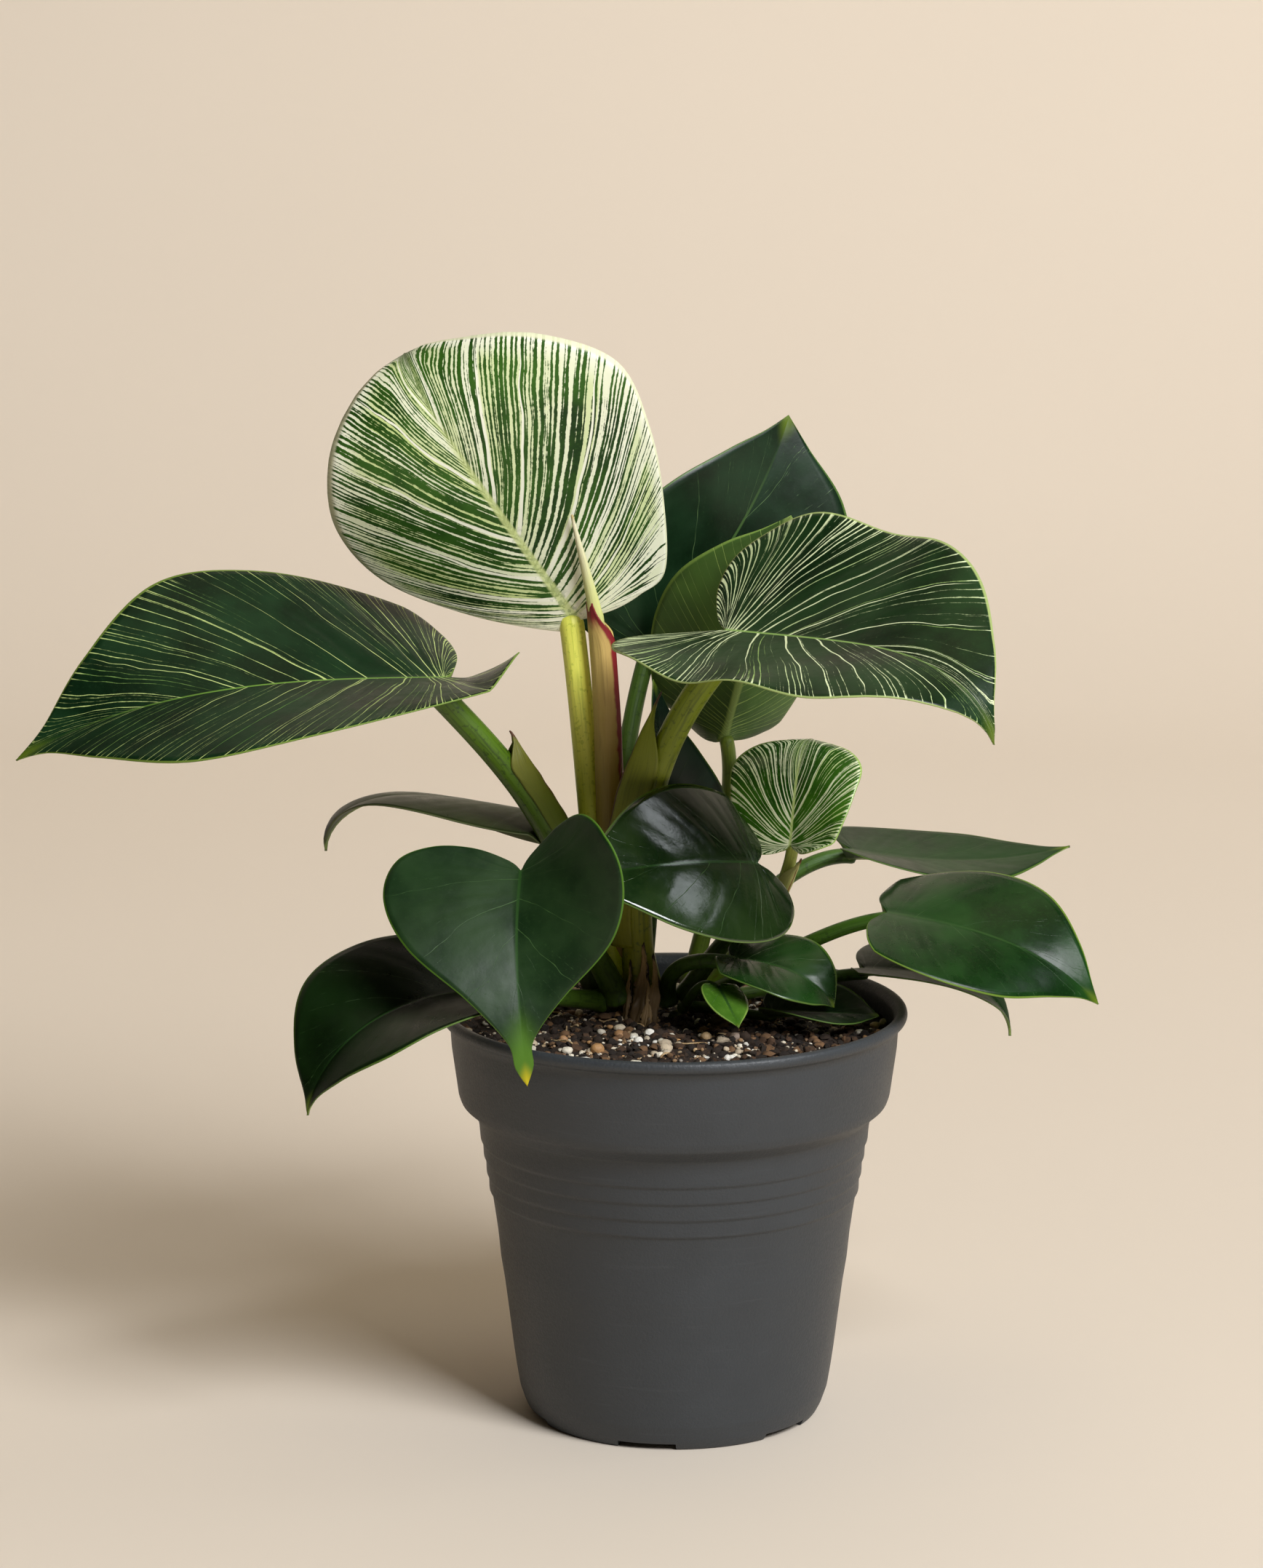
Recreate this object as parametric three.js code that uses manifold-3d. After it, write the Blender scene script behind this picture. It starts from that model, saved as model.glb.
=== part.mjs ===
// A philodendron birkin in its nursery pot. Millimetres and degrees, +Z up.
// The origin is the middle of the pot's underside, on the surface that it stands on. The front is -Y.
//
// A blade starts as a flat heart drawn along its midrib, with rows that follow its side veins.
// The midrib then bends through space, and each half folds up from it and curls towards its margin.
// The left half is on the left when looking from the petiole to the tip, at the upper face.
import * as THREE from 'three';
import { mergeVertices } from 'three/addons/utils/BufferGeometryUtils.js';
import Module from 'manifold-3d';

const wasm = await Module();
wasm.setup();

// ---------------------------------------------------------------- driving dimensions

const GAP = 0.3; // clear space between two pieces that touch

const POT_SIDES = 32;
const POT = {
  height: 107,
  lip: 60,          // outer radius of the rolled lip
  mouth: 56.2,      // inner radius under the lip
  bandTop: 57.6,    // the plain band under the lip
  bandFoot: 55.6,
  bandFootHeight: 84.6,
  neck: 50.6,       // where the band steps in
  neckHeight: 79,
  waist: 47.2,      // below the four fine ridges
  waistHeight: 58.6,
  ridgeStep: 0.6,
  ridgePitch: 4.5,
  heel: 41,
  heelHeight: 12,
  foot: 37.4,       // outer radius of the foot ring
  footWidth: 3.4,
  footHeight: 2,
  wall: 1.6,
  floor: 3.5,       // top of the pot's floor
  pad: 7,           // small pad in the middle of the underside
};
const RIDGES = 4;
const DRAIN = { count: 6, radius: 3.5, circle: 22 };
const NOTCH = { count: 6, width: 15, start: -101 };

const SOIL = { level: 101, crown: 1.2, clearance: 0.5, ripple: 0.45, rings: [50, 43, 35, 27, 18, 9] };
const GRAINS = { count: 24, least: 1.3, most: 2.3, seed: 11 };

const BLADE = { thickness: 0.7, keel: 0.9, rows: 12, columns: 3 };
const MIDRIB_STEPS = 24;
const VEIN_BUNCHING = 3;  // the side veins leave the midrib closer together near the petiole
const VEIN_BEND = [0.25, 0.55];
const LOBE_DEPTH = 0.13;  // reach of the basal lobes behind the petiole, as a share of the length

const TUBE_SIDES = 8;
const TUBE_STEPS = 6;

const DARK_GREEN = 0x1e3320;
const MID_GREEN = 0x3f6b1e;
const STRIPED_GREEN = 0x7f9a62;
const PETIOLE_GREEN = 0x6f8c22;
const STEM_GREEN = 0x3d4a1c;
const SHEATH_GREEN = 0x7d8a2c;
const SLEEVE_TAN = 0xa8705a;
const ROLLED_CREAM = 0xe9e3c0;
const DRY_BROWN = 0x6b4a2c;
const PEAT_BROWN = 0x3a2a1e;
const POT_GREY = 0x3c3f42;

// Each stem is a short stump: foot in the soil, top, and the radius at both.
const STEMS = [
  { name: 'stem_main', foot: [-13, 12, 86], top: [-13, 12, 107], radii: [6, 4.6] },
  { name: 'stem_side', foot: [4, 20, 86], top: [4, 20, 105], radii: [4.6, 3.6] },
  { name: 'stem_small', foot: [1, 7, 86], top: [1, 7, 104], radii: [3.4, 2.8] },
];

const PLAIN = {
  rows: BLADE.rows, columns: BLADE.columns, green: DARK_GREEN,
  sway: 0, twist: 0, lift: [0, 0], taper: 0, narrow: 0, drip: 0, wave: 0, waves: 2, lag: 0,
};

// heading, rise and roll aim the base of the blade: round from +X, up from level, and about its own length.
// droop bends the midrib to the underside, most of it near the tip where power is high.
// fold is [left, right], each [at the base, at the tip]; curl, lobe and lift are [left, right].
// half is the widest half width. narrow draws the outline in at the base, taper towards the tip, and
// drip just before the tip. Each of these four is one number, or [left, right].
const LEAVES = [
  {
    name: 'top_striped', at: [-25, 6, 206], length: 90, half: [34.5, 40], heading: -151, rise: 53,
    roll: -118, droop: 109, power: 5, fold: [[-6, 8], [7, 2]], curl: [-22, -10], lobe: [0.1, 0.2],
    narrow: [2.2, 0.7], taper: [-0.4, -1], drip: [-2.4, -0.4], green: STRIPED_GREEN, rows: 15, columns: 4,
    petiole: { route: [[-15, 9, 108], [-20, 10, 142], [-23, 8.5, 174]], radii: [3.6, 3.2] },
  },
  {
    name: 'left_long', at: [-58, -12, 194], length: 112, half: 41, heading: -160, rise: 3, roll: -24,
    droop: 47, power: 2, sway: -4, twist: -18, fold: [[30, 14], [-4, 17]], curl: [-2, 1],
    lobe: [0.8, 0.5], lift: [22, -6], taper: [-0.2, -0.35], drip: 1, rows: 15, columns: 4,
    petiole: { route: [[-19, 10, 107], [-28, 4, 143], [-42, -5, 169]], radii: [4, 3.2] },
  },
  {
    name: 'right_wavy', at: [13, -14, 206], length: 96, half: 38, heading: -46, rise: 4, roll: 23,
    droop: 104, power: 5, sway: -4, twist: -5, fold: [[23, 4], [22, 3]], curl: [3, -6],
    lobe: [0.9, 1.3], narrow: -0.1, taper: [-0.3, -0.15], drip: [1.1, 0.9],
    wave: 1.6, waves: 2.5, lag: 0.2, rows: 15, columns: 4,
    petiole: { route: [[-8, 9, 107], [-9, 2, 146], [-1, -6, 178]], radii: [4.2, 3.4] },
  },
  {
    name: 'back_upright', at: [-7, 42, 192], length: 73, half: 32, heading: -4, rise: 49, roll: 112,
    droop: 29, power: 1.7, sway: 13, twist: 4, fold: [[6, 10], [12, 14]], curl: [1, 2],
    lobe: [0.5, 0.6], taper: [0, -0.8],
    petiole: { route: [[-12, 18, 107], [-14, 26, 140], [-12, 35, 168]], radii: [3, 2.3] },
  },
  {
    name: 'back_turned', at: [13, 22, 172], length: 64, half: 29, heading: -41, rise: 72, roll: -50,
    droop: -1, power: 1.3, sway: 3, twist: 3, fold: [[50, 17], [43, 8]], curl: [13, 1],
    lobe: [0.2, 0.5], lift: [6, 26], taper: -0.2, green: MID_GREEN,
    petiole: { route: [[4, 25, 105], [10, 26, 130], [14, 25, 154]], radii: [2.6, 1.9] },
  },
  {
    name: 'young_striped', at: [30, 4, 148], length: 34, half: 16, heading: 77, rise: 71, roll: -8,
    droop: 87, power: 3.1, fold: [[14, 2], [28, -6]], curl: [-1, -10], lobe: [0.6, 0.6], lift: [0, 27],
    taper: -1, green: STRIPED_GREEN,
    petiole: { route: [[8, 20, 105], [19, 14, 121], [27, 9, 135]], radii: [2.2, 1.6] },
  },
  {
    name: 'front_glossy', at: [21, -8, 146], length: 56, half: 23, heading: -138, rise: 10, roll: -50,
    droop: 30, power: 1.4, fold: [[3, 8], [1, 16]], curl: [-13, -9], lobe: [0.9, 0.7], lift: [0, -12],
    petiole: { route: [[2, 11, 105], [12, 6, 121], [20, -1, 134]], radii: [2.6, 2] },
  },
  {
    name: 'front_heart', at: [-38, -42, 151], length: 55, half: 32, heading: -100, rise: -50, roll: 7,
    droop: 47, power: 1.7, sway: 15, twist: -29, fold: [[26, -8], [16, 5]], curl: [18, -10],
    lobe: [1.2, 0.7], narrow: -0.3, taper: [1.25, 1.15], drip: -0.25,
    petiole: { route: [[-14, 5, 106], [-21, -3, 122], [-30, -20, 138]], radii: [3.6, 2.4] },
  },
  {
    name: 'front_drooping', at: [-48, -32, 118], length: 60, half: 25, heading: -153, rise: 2, roll: -5,
    droop: 85, power: 1.7, sway: 7, twist: -11, fold: [[16, 17], [30, 30]], curl: [-11, -19],
    lobe: [1, 1], lift: [13, 9], taper: -0.3, drip: 1,
    petiole: { route: [[-18, 6, 106.5], [-27, -5, 110], [-38, -19, 114]], radii: [2.8, 2.2] },
  },
  {
    name: 'left_low', at: [-33, 18, 154], length: 65, half: 22, heading: 169, rise: 6, roll: 15,
    droop: 98, power: 4, sway: 10, twist: -4, fold: [[-12, 10], [-7, 30]], curl: [-21, -38],
    lobe: [1, 0.8], lift: [-24, 0], taper: -0.4,
    petiole: { route: [[-18, 15, 106], [-21, 17, 129], [-27, 18, 145]], radii: [2.6, 2] },
  },
  {
    name: 'right_flat', at: [47, 34, 140], length: 60, half: 21, heading: 7, rise: -11, roll: 15,
    droop: -20, power: 1.4, sway: 14, fold: [[-7, -2], [27, 8]], curl: [1, -12], lobe: [0.4, 0.6],
    taper: -0.1, drip: 0.6,
    petiole: { route: [[8, 24, 105], [19, 28, 124], [34, 32, 136]], radii: [2.6, 2] },
  },
  {
    name: 'right_round', at: [54, -8, 133], length: 60, half: 25, heading: -10, rise: -7, roll: 24,
    droop: 44, power: 2, sway: -12, twist: 14, fold: [[-7, 27], [14, 4]], curl: [-16, -6],
    lobe: [0.4, 0.4], lift: [-14, 15], drip: 0.5,
    petiole: { route: [[7, 16, 105], [21, 9, 114], [38, 0, 125]], radii: [2.4, 1.8] },
  },
  {
    name: 'right_low', at: [50, 22, 111], length: 47, half: 20, heading: -9, rise: -2, roll: 20,
    droop: 90, power: 2.5, sway: 7, twist: -12, fold: [[-5, 26], [25, 6]], curl: [-13, 12],
    lobe: [0.5, 0.4], lift: [0, 12], taper: 0.2, drip: 1,
    petiole: { route: [[9, 20, 104.5], [21, 22, 105], [36, 22.5, 108]], radii: [2, 1.6] },
  },
  {
    name: 'rim_round', at: [15, -8, 121], length: 30, half: 13, heading: -18, rise: -5, roll: 11,
    droop: 65, power: 2.2, twist: 12, fold: [[9, 31], [10, 6]], curl: [-13, -11], lobe: [0.7, 0.7],
    lift: [0, 23], taper: -0.5,
    petiole: { route: [[-1, 9, 104], [-1, 5, 113], [5, -3, 119]], radii: [2.4, 1.9] },
  },
  {
    name: 'rim_bud', at: [11, -14, 115], length: 14, half: 6, heading: -58, rise: -35, roll: 22,
    droop: -5, power: 1.4, sway: -9, fold: [[-10, 4], [24, 17]], curl: [-29, 8], lobe: [0.5, 0.8],
    lift: [-23, 0], green: MID_GREEN, rows: 9,
    petiole: { route: [[2, 4, 105], [4, -1, 109], [7, -8, 114]], radii: [1.4, 1.1] },
  },
  {
    name: 'rim_flat', at: [25, -6, 106], length: 28, half: 11, heading: -17, rise: 4, roll: 25,
    droop: 7, power: 2, sway: 3, twist: 6, fold: [[9, 10], [38, 7]], curl: [-1, 21], lobe: [0.8, 0.5],
    taper: -0.3,
    petiole: { route: [[4, 8, 104.5], [10, 4, 105], [18, -1, 105]], radii: [1.6, 1.3] },
  },
  {
    name: 'back_hidden', at: [-5, 14, 140], length: 50, half: 21, heading: -62, rise: 78, roll: -163,
    droop: 25, power: 1.2, sway: -6, twist: 6, fold: [[31, 14], [32, 15]], curl: [4, -15],
    lobe: [1, 1], lift: [0, -8], taper: 0.7,
    petiole: { route: [[-8, 17, 106], [-7, 17, 118], [-6, 16, 129]], radii: [2.4, 1.8] },
  },
].map((leaf) => ({ ...PLAIN, ...leaf }));

// Leaf sheaths, the sleeve that holds the next leaf, and the rolled leaf itself.
const SLEEVE = {
  route: [[-13, 13, 109], [-16, 7, 143], [-17, 4, 174], [-19.5, 1.5, 212]],
  radii: [3.2, 3.2, 3.1, 1.8],
};
const ROLLED_LEAF = {
  route: [[-19, 2.4, 196], [-20, 1.2, 208], [-23, -2, 222], [-26, -5.5, 235]],
  radii: [1.2, 1.9, 1, 0.3],
};
const SHEATHS = [
  {
    name: 'sheath_right_wavy', radii: [3.4, 4.2, 3.6, 0.8],
    route: [[-13, 6, 122], [-14, 2, 142], [-11, -4, 164], [-3, -7, 189]],
  },
  {
    name: 'sheath_left_long', radii: [2.4, 3.2, 2.4, 0.8],
    route: [[-21, 5, 136], [-28, 1, 154], [-35, -3.5, 167], [-42, -6, 179]],
  },
  {
    name: 'sheath_young_striped', radii: [1.4, 1.8, 1.6, 0.7],
    route: [[23.4, 9.4, 125], [26.8, 7, 132], [29.2, 5, 138], [32, 2.6, 145]],
  },
];
const SHEATH_DEPTH = 0.6; // front to back, as a share of the width

// Dead brown scales that stand in the soil at the foot of the petioles.
const SCALES = [
  {
    name: 'dry_scale_main', radii: [1.8, 2.2, 1.6, 0.5],
    route: [[-10, 1, 99], [-9, 1, 106], [-8, 2, 114], [-8, 3, 122]],
  },
  {
    name: 'dry_scale_small', radii: [1.4, 1.8, 1.4, 0.5],
    route: [[6, 1, 99], [11, -3, 103], [16, -7, 107], [20, -10, 111]],
  },
];
const SCALE_DEPTH = 0.4;

// ---------------------------------------------------------------- small helpers

const rad = THREE.MathUtils.degToRad;
const vec = (p) => new THREE.Vector3(...p);
const mix = ([a, b], t) => a + (b - a) * t;
const sided = (value, side) => (Array.isArray(value) ? value[side] : value);

function seeded(seed) {
  let state = seed;
  return () => {
    state = (state * 16807) % 2147483647;
    return state / 2147483647;
  };
}

// A closed mesh as a manifold solid: shared vertices are merged and flat triangles dropped.
function solidOf(geometry) {
  const bare = geometry.clone();
  bare.deleteAttribute('normal');
  bare.deleteAttribute('uv');
  const merged = mergeVertices(bare, 1e-4);
  const index = Array.from(merged.index.array);
  const corners = [];
  for (let i = 0; i < index.length; i += 3) {
    const [a, b, c] = index.slice(i, i + 3);
    if (a !== b && b !== c && c !== a) corners.push(a, b, c);
  }
  return new wasm.Manifold(new wasm.Mesh({
    numProp: 3,
    vertProperties: new Float32Array(merged.attributes.position.array),
    triVerts: new Uint32Array(corners),
  }));
}

function geometryOf(solid) {
  const mesh = solid.getMesh();
  const geometry = new THREE.BufferGeometry();
  geometry.setAttribute('position', new THREE.BufferAttribute(new Float32Array(mesh.vertProperties), 3));
  geometry.setIndex(new THREE.BufferAttribute(new Uint32Array(mesh.triVerts), 1));
  geometry.computeVertexNormals();
  return geometry;
}

// The largest piece that is left of a solid after others are cut from it.
function seat(solid, others) {
  const rest = others.reduce((left, other) => left.subtract(other), solid);
  const pieces = rest.decompose();
  return pieces.reduce((best, piece) => (piece.volume() > best.volume() ? piece : best));
}

// ---------------------------------------------------------------- blades

// One half of the flat blade's outline, from the notch at the petiole to the tip.
// side is 0 for the left half and 1 for the right.
function halfOutline(leaf, side) {
  const value = (key) => sided(leaf[key], side);
  const [half, lobe, narrow, taper, drip] = ['half', 'lobe', 'narrow', 'taper', 'drip'].map(value);
  const shares = [
    [0, 0],
    [-0.07 * lobe, 0.12],
    [-0.135 * lobe, 0.36 - 0.12 * narrow],
    [-0.125 * lobe, 0.64 - 0.28 * narrow],
    [-0.01 * lobe, 0.89 - 0.33 * narrow],
    [0.17, 1 - 0.15 * narrow],
    [0.38, 0.97 + 0.03 * narrow - 0.1 * taper],
    [0.6, 0.78 + 0.1 * narrow - 0.3 * taper],
    [0.79, 0.45 - 0.31 * taper - 0.12 * drip],
    [0.91, 0.18 - 0.11 * taper - 0.1 * drip],
    [1, 0],
  ];
  return new THREE.SplineCurve(shares.map(([u, v]) => new THREE.Vector2(u * leaf.length, v * half)));
}

// Points along the midrib, each with the way it runs and the way its upper face looks.
function midrib(leaf) {
  const h = rad(leaf.heading);
  const r = rad(leaf.rise);
  let forward = new THREE.Vector3(Math.cos(r) * Math.cos(h), Math.cos(r) * Math.sin(h), Math.sin(r));
  let face = new THREE.Vector3(-Math.sin(r) * Math.cos(h), -Math.sin(r) * Math.sin(h), Math.cos(r));
  face.applyAxisAngle(forward, rad(leaf.roll));
  let point = vec(leaf.at);
  const stations = [{ point, forward, face }];
  for (let i = 1; i <= MIDRIB_STEPS; i += 1) {
    const share = 1 / MIDRIB_STEPS;
    const droop = rad(leaf.droop) * ((i * share) ** leaf.power - ((i - 1) * share) ** leaf.power);
    const across = face.clone().cross(forward);
    const next = forward.clone().applyAxisAngle(across, droop);
    face = face.clone().applyAxisAngle(across, droop);
    next.applyAxisAngle(face, rad(leaf.sway) * share);
    face.applyAxisAngle(next, rad(leaf.twist) * share);
    point = point.clone().addScaledVector(forward.clone().add(next), (leaf.length * share) / 2);
    forward = next;
    stations.push({ point, forward, face });
  }
  return stations;
}

// Where the flat point (x along the midrib, y out from it) lies in space.
function placeOnBlade(leaf, stations, x, y, side) {
  const u = THREE.MathUtils.clamp(x / leaf.length, 0, 1) * MIDRIB_STEPS;
  const i = Math.min(Math.floor(u), MIDRIB_STEPS - 1);
  const blend = (key) => stations[i][key].clone().lerp(stations[i + 1][key], u - i);
  const forward = blend('forward').normalize();
  const face = blend('face').normalize();
  const outward = face.clone().cross(forward).multiplyScalar(side === 0 ? 1 : -1);
  const share = THREE.MathUtils.clamp(x / leaf.length, -0.2, 1);
  const out = y / sided(leaf.half, side);
  const behind = THREE.MathUtils.clamp(-x / (LOBE_DEPTH * leaf.length), 0, 1.5);
  const lift = leaf.lift[side] * behind * THREE.MathUtils.clamp(out / 0.3, 0, 1);
  const start = rad(mix(leaf.fold[side], share) + lift);
  const turn = rad(leaf.curl[side]) * out;
  const flat = Math.abs(turn) < 1e-4;
  const along = flat ? y * Math.cos(start) : (y * (Math.sin(start + turn) - Math.sin(start))) / turn;
  const up = flat ? y * Math.sin(start) : (y * (Math.cos(start) - Math.cos(start + turn))) / turn;
  const wave = leaf.wave * out ** 2 * Math.sin(2 * Math.PI * (leaf.waves * share + leaf.lag * side));
  return blend('point')
    .addScaledVector(forward, Math.min(x, 0) + Math.max(x - leaf.length, 0))
    .addScaledVector(outward, along)
    .addScaledVector(face, up + wave);
}

// Rows run along side veins, from the midrib (column 0) to the margin; negative columns are the right half.
function flatGrid(leaf, side) {
  const margin = halfOutline(leaf, side).getSpacedPoints(leaf.rows);
  return margin.map((edge, row) => {
    const root = new THREE.Vector2(leaf.length * (row / leaf.rows) ** VEIN_BUNCHING, 0);
    const reach = edge.clone().sub(root);
    const bend = root.clone().add(new THREE.Vector2(reach.x * VEIN_BEND[0], reach.y * VEIN_BEND[1]));
    const vein = new THREE.QuadraticBezierCurve(root, bend, edge);
    return Array.from({ length: leaf.columns + 1 }, (_, column) => vein.getPoint(column / leaf.columns));
  });
}

function bladeGeometry(leaf, swell = 0) {
  const stations = midrib(leaf);
  const grids = [flatGrid(leaf, 0), flatGrid(leaf, 1)];
  const positions = [];
  const names = new Map();
  const step = leaf.length / 200;
  const heart = new THREE.Vector2(leaf.length * 0.45, 0);

  // Adds the pair of points above and below the middle of the blade, and says where the pair starts.
  function pair(row, column) {
    const side = column < 0 ? 1 : 0;
    const collapsed = row === 0 || row === leaf.rows;
    const key = collapsed ? `${row}` : `${row},${column}`;
    if (names.has(key)) return names.get(key);
    const flat = grids[side][row][Math.abs(column)];
    if (collapsed || Math.abs(column) === leaf.columns) {
      flat.addScaledVector(flat.clone().sub(heart).normalize(), swell);
    }
    const { x, y } = flat;
    const middle = placeOnBlade(leaf, stations, x, y, side);
    const ahead = placeOnBlade(leaf, stations, x + step, y, side).sub(middle);
    const aside = placeOnBlade(leaf, stations, x, y + step, side).sub(middle);
    const normal = side === 0 ? ahead.cross(aside) : aside.cross(ahead);
    if (column === 0 || collapsed) {
      const i = Math.round(THREE.MathUtils.clamp(x / leaf.length, 0, 1) * MIDRIB_STEPS);
      normal.copy(stations[i].face);
    }
    normal.normalize();
    const keel = column === 0 && !collapsed ? BLADE.keel * (1 - row / leaf.rows) : 0;
    const above = middle.clone().addScaledVector(normal, BLADE.thickness / 2 + swell);
    const below = middle.clone().addScaledVector(normal, -BLADE.thickness / 2 - keel - swell);
    const first = positions.length / 3;
    positions.push(...above, ...below);
    names.set(key, first);
    return first;
  }

  const faces = [];
  function triangle(a, b, c) {
    if (a !== b && b !== c && c !== a) faces.push([a, b, c]);
  }
  for (let row = 0; row < leaf.rows; row += 1) {
    for (let column = -leaf.columns; column < leaf.columns; column += 1) {
      const a = pair(row, column);
      const b = pair(row + 1, column);
      const c = pair(row + 1, column + 1);
      const d = pair(row, column + 1);
      triangle(a, b, c);
      triangle(a, c, d);
    }
  }
  const index = faces.flatMap(([a, b, c]) => [a, b, c, c + 1, b + 1, a + 1]);
  for (const column of [-leaf.columns, leaf.columns]) {
    for (let row = 0; row < leaf.rows; row += 1) {
      const near = pair(row, column);
      const far = pair(row + 1, column);
      const [a, b] = column > 0 ? [far, near] : [near, far];
      index.push(a, a + 1, b + 1, a, b + 1, b);
    }
  }
  const geometry = new THREE.BufferGeometry();
  geometry.setAttribute('position', new THREE.Float32BufferAttribute(positions, 3));
  geometry.setIndex(index);
  geometry.computeVertexNormals();
  return geometry;
}

// ---------------------------------------------------------------- tubes: petioles, sheaths, stems

// The cubic that passes through four points at even shares of the way.
function through([a, b, c, d], t) {
  const weights = [
    ((1 - 3 * t) * (2 - 3 * t) * (1 - t)) / 2,
    (9 * t * (2 - 3 * t) * (1 - t)) / 2,
    (9 * t * (3 * t - 1) * (1 - t)) / 2,
    (t * (3 * t - 1) * (3 * t - 2)) / 2,
  ];
  return [a, b, c, d].map((p, i) => vec(p).multiplyScalar(weights[i])).reduce((sum, p) => sum.add(p));
}

function radiusAt(radii, t) {
  if (radii.length === 2) return radii[1] + (radii[0] - radii[1]) * (1 - t) ** 2;
  const u = t * (radii.length - 1);
  const i = Math.min(Math.floor(u), radii.length - 2);
  return mix([radii[i], radii[i + 1]], u - i);
}

// A closed tube; depth squeezes its section from front to back, and swell grows it all round.
function tubeGeometry({ route, radii, depth = 1 }, swell = 0) {
  const positions = [];
  const index = [];
  for (let step = 0; step <= TUBE_STEPS; step += 1) {
    const t = step / TUBE_STEPS;
    const tangent = through(route, t + 0.01).sub(through(route, t - 0.01)).normalize();
    const across = tangent.clone().cross(new THREE.Vector3(0, 1, 0)).normalize();
    const front = tangent.clone().cross(across);
    const ends = (step === 0 ? -swell : 0) + (step === TUBE_STEPS ? swell : 0);
    const centre = through(route, t).addScaledVector(tangent, ends);
    const radius = radiusAt(radii, t) + swell;
    for (let side = 0; side < TUBE_SIDES; side += 1) {
      const angle = (2 * Math.PI * side) / TUBE_SIDES;
      const corner = centre.clone()
        .addScaledVector(across, radius * Math.cos(angle))
        .addScaledVector(front, radius * depth * Math.sin(angle));
      positions.push(...corner);
    }
  }
  const at = (step, side) => step * TUBE_SIDES + (side % TUBE_SIDES);
  for (let step = 0; step < TUBE_STEPS; step += 1) {
    for (let side = 0; side < TUBE_SIDES; side += 1) {
      const [a, b] = [at(step, side), at(step, side + 1)];
      const [c, d] = [at(step + 1, side + 1), at(step + 1, side)];
      index.push(a, b, c, a, c, d);
    }
  }
  for (let side = 1; side < TUBE_SIDES - 1; side += 1) {
    index.push(at(0, 0), at(0, side + 1), at(0, side));
    index.push(at(TUBE_STEPS, 0), at(TUBE_STEPS, side), at(TUBE_STEPS, side + 1));
  }
  const geometry = new THREE.BufferGeometry();
  geometry.setAttribute('position', new THREE.Float32BufferAttribute(positions, 3));
  geometry.setIndex(index);
  return geometry;
}

function petioleOf(leaf) {
  const { route, radii } = leaf.petiole;
  return { route: [...route, leaf.at], radii };
}

function stemTube({ foot, top, radii }) {
  const shares = [0, 1 / 3, 2 / 3, 1];
  return {
    route: shares.map((share) => vec(foot).lerp(vec(top), share).toArray()),
    radii: shares.map((share) => mix(radii, share)),
  };
}

// ---------------------------------------------------------------- pot and soil

function turned(profile) {
  const points = profile.map(([r, z]) => new THREE.Vector2(r, z));
  const geometry = new THREE.LatheGeometry(points, POT_SIDES);
  geometry.rotateX(Math.PI / 2);
  return geometry;
}

function ridgePoints() {
  const points = [];
  for (let ridge = 0; ridge < RIDGES; ridge += 1) {
    const z = POT.waistHeight + ridge * POT.ridgePitch;
    const r = POT.waist + ridge * (POT.ridgeStep + 0.15);
    points.push([r, z], [r + POT.ridgeStep, z + POT.ridgeStep]);
  }
  return points;
}

// The inside of the wall from the floor to the mouth; the soil follows it.
const innerWall = [
  [POT.foot - 0.6, POT.floor],
  [POT.foot + 0.8, POT.floor + 1.5],
  [POT.heel - POT.wall, POT.heelHeight],
  [POT.waist - POT.wall, POT.waistHeight - 0.6],
  [POT.neck - POT.wall, POT.neckHeight + 0.4],
  [POT.bandFoot - POT.wall, POT.bandFootHeight + 0.4],
  [POT.mouth, POT.height - 4],
];

function potGeometry() {
  const profile = [
    [0, 0],
    [POT.pad, 0],
    [POT.pad, POT.footHeight],
    [POT.foot - POT.footWidth - 0.4, POT.footHeight],
    [POT.foot - POT.footWidth, 0],
    [POT.foot, 0],
    [POT.foot + 1.3, 2.4],
    [POT.heel - 0.8, 6.5],
    [POT.heel, POT.heelHeight],
    ...ridgePoints(),
    [POT.neck, POT.neckHeight],
    [POT.bandFoot - 1, POT.bandFootHeight - 2],
    [POT.bandFoot, POT.bandFootHeight],
    [POT.bandTop, POT.height - 4.4],
    [POT.lip - 0.4, POT.height - 2.8],
    [POT.lip, POT.height - 1.2],
    [POT.lip - 0.8, POT.height],
    [POT.mouth + 1.5, POT.height - 0.4],
    ...[...innerWall].reverse(),
    [0, POT.floor],
  ];
  let pot = solidOf(turned(profile));
  for (let i = 0; i < DRAIN.count; i += 1) {
    const hole = new THREE.CylinderGeometry(DRAIN.radius, DRAIN.radius, POT.floor * 3, 12);
    hole.rotateX(Math.PI / 2);
    hole.translate(DRAIN.circle, 0, POT.floor);
    hole.rotateZ((2 * Math.PI * i) / DRAIN.count);
    pot = pot.subtract(solidOf(hole));
  }
  for (let i = 0; i < NOTCH.count; i += 1) {
    const notch = new THREE.BoxGeometry(POT.footWidth * 4, NOTCH.width, 2 * POT.footHeight - 0.6);
    notch.translate(POT.foot, 0, 0);
    notch.rotateZ(rad(NOTCH.start) + (2 * Math.PI * i) / NOTCH.count);
    pot = pot.subtract(solidOf(notch));
  }
  return geometryOf(pot);
}

function soilHeight(x, y) {
  const distance = Math.hypot(x, y) / POT.mouth;
  const ripple = Math.sin(x * 0.9 + 1.3 * Math.sin(y * 0.7)) * Math.cos(y * 0.8 + 0.6 * Math.sin(x * 0.5));
  return SOIL.level + SOIL.crown * (1 - distance ** 2) + SOIL.ripple * ripple * (1 - distance ** 6);
}

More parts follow.
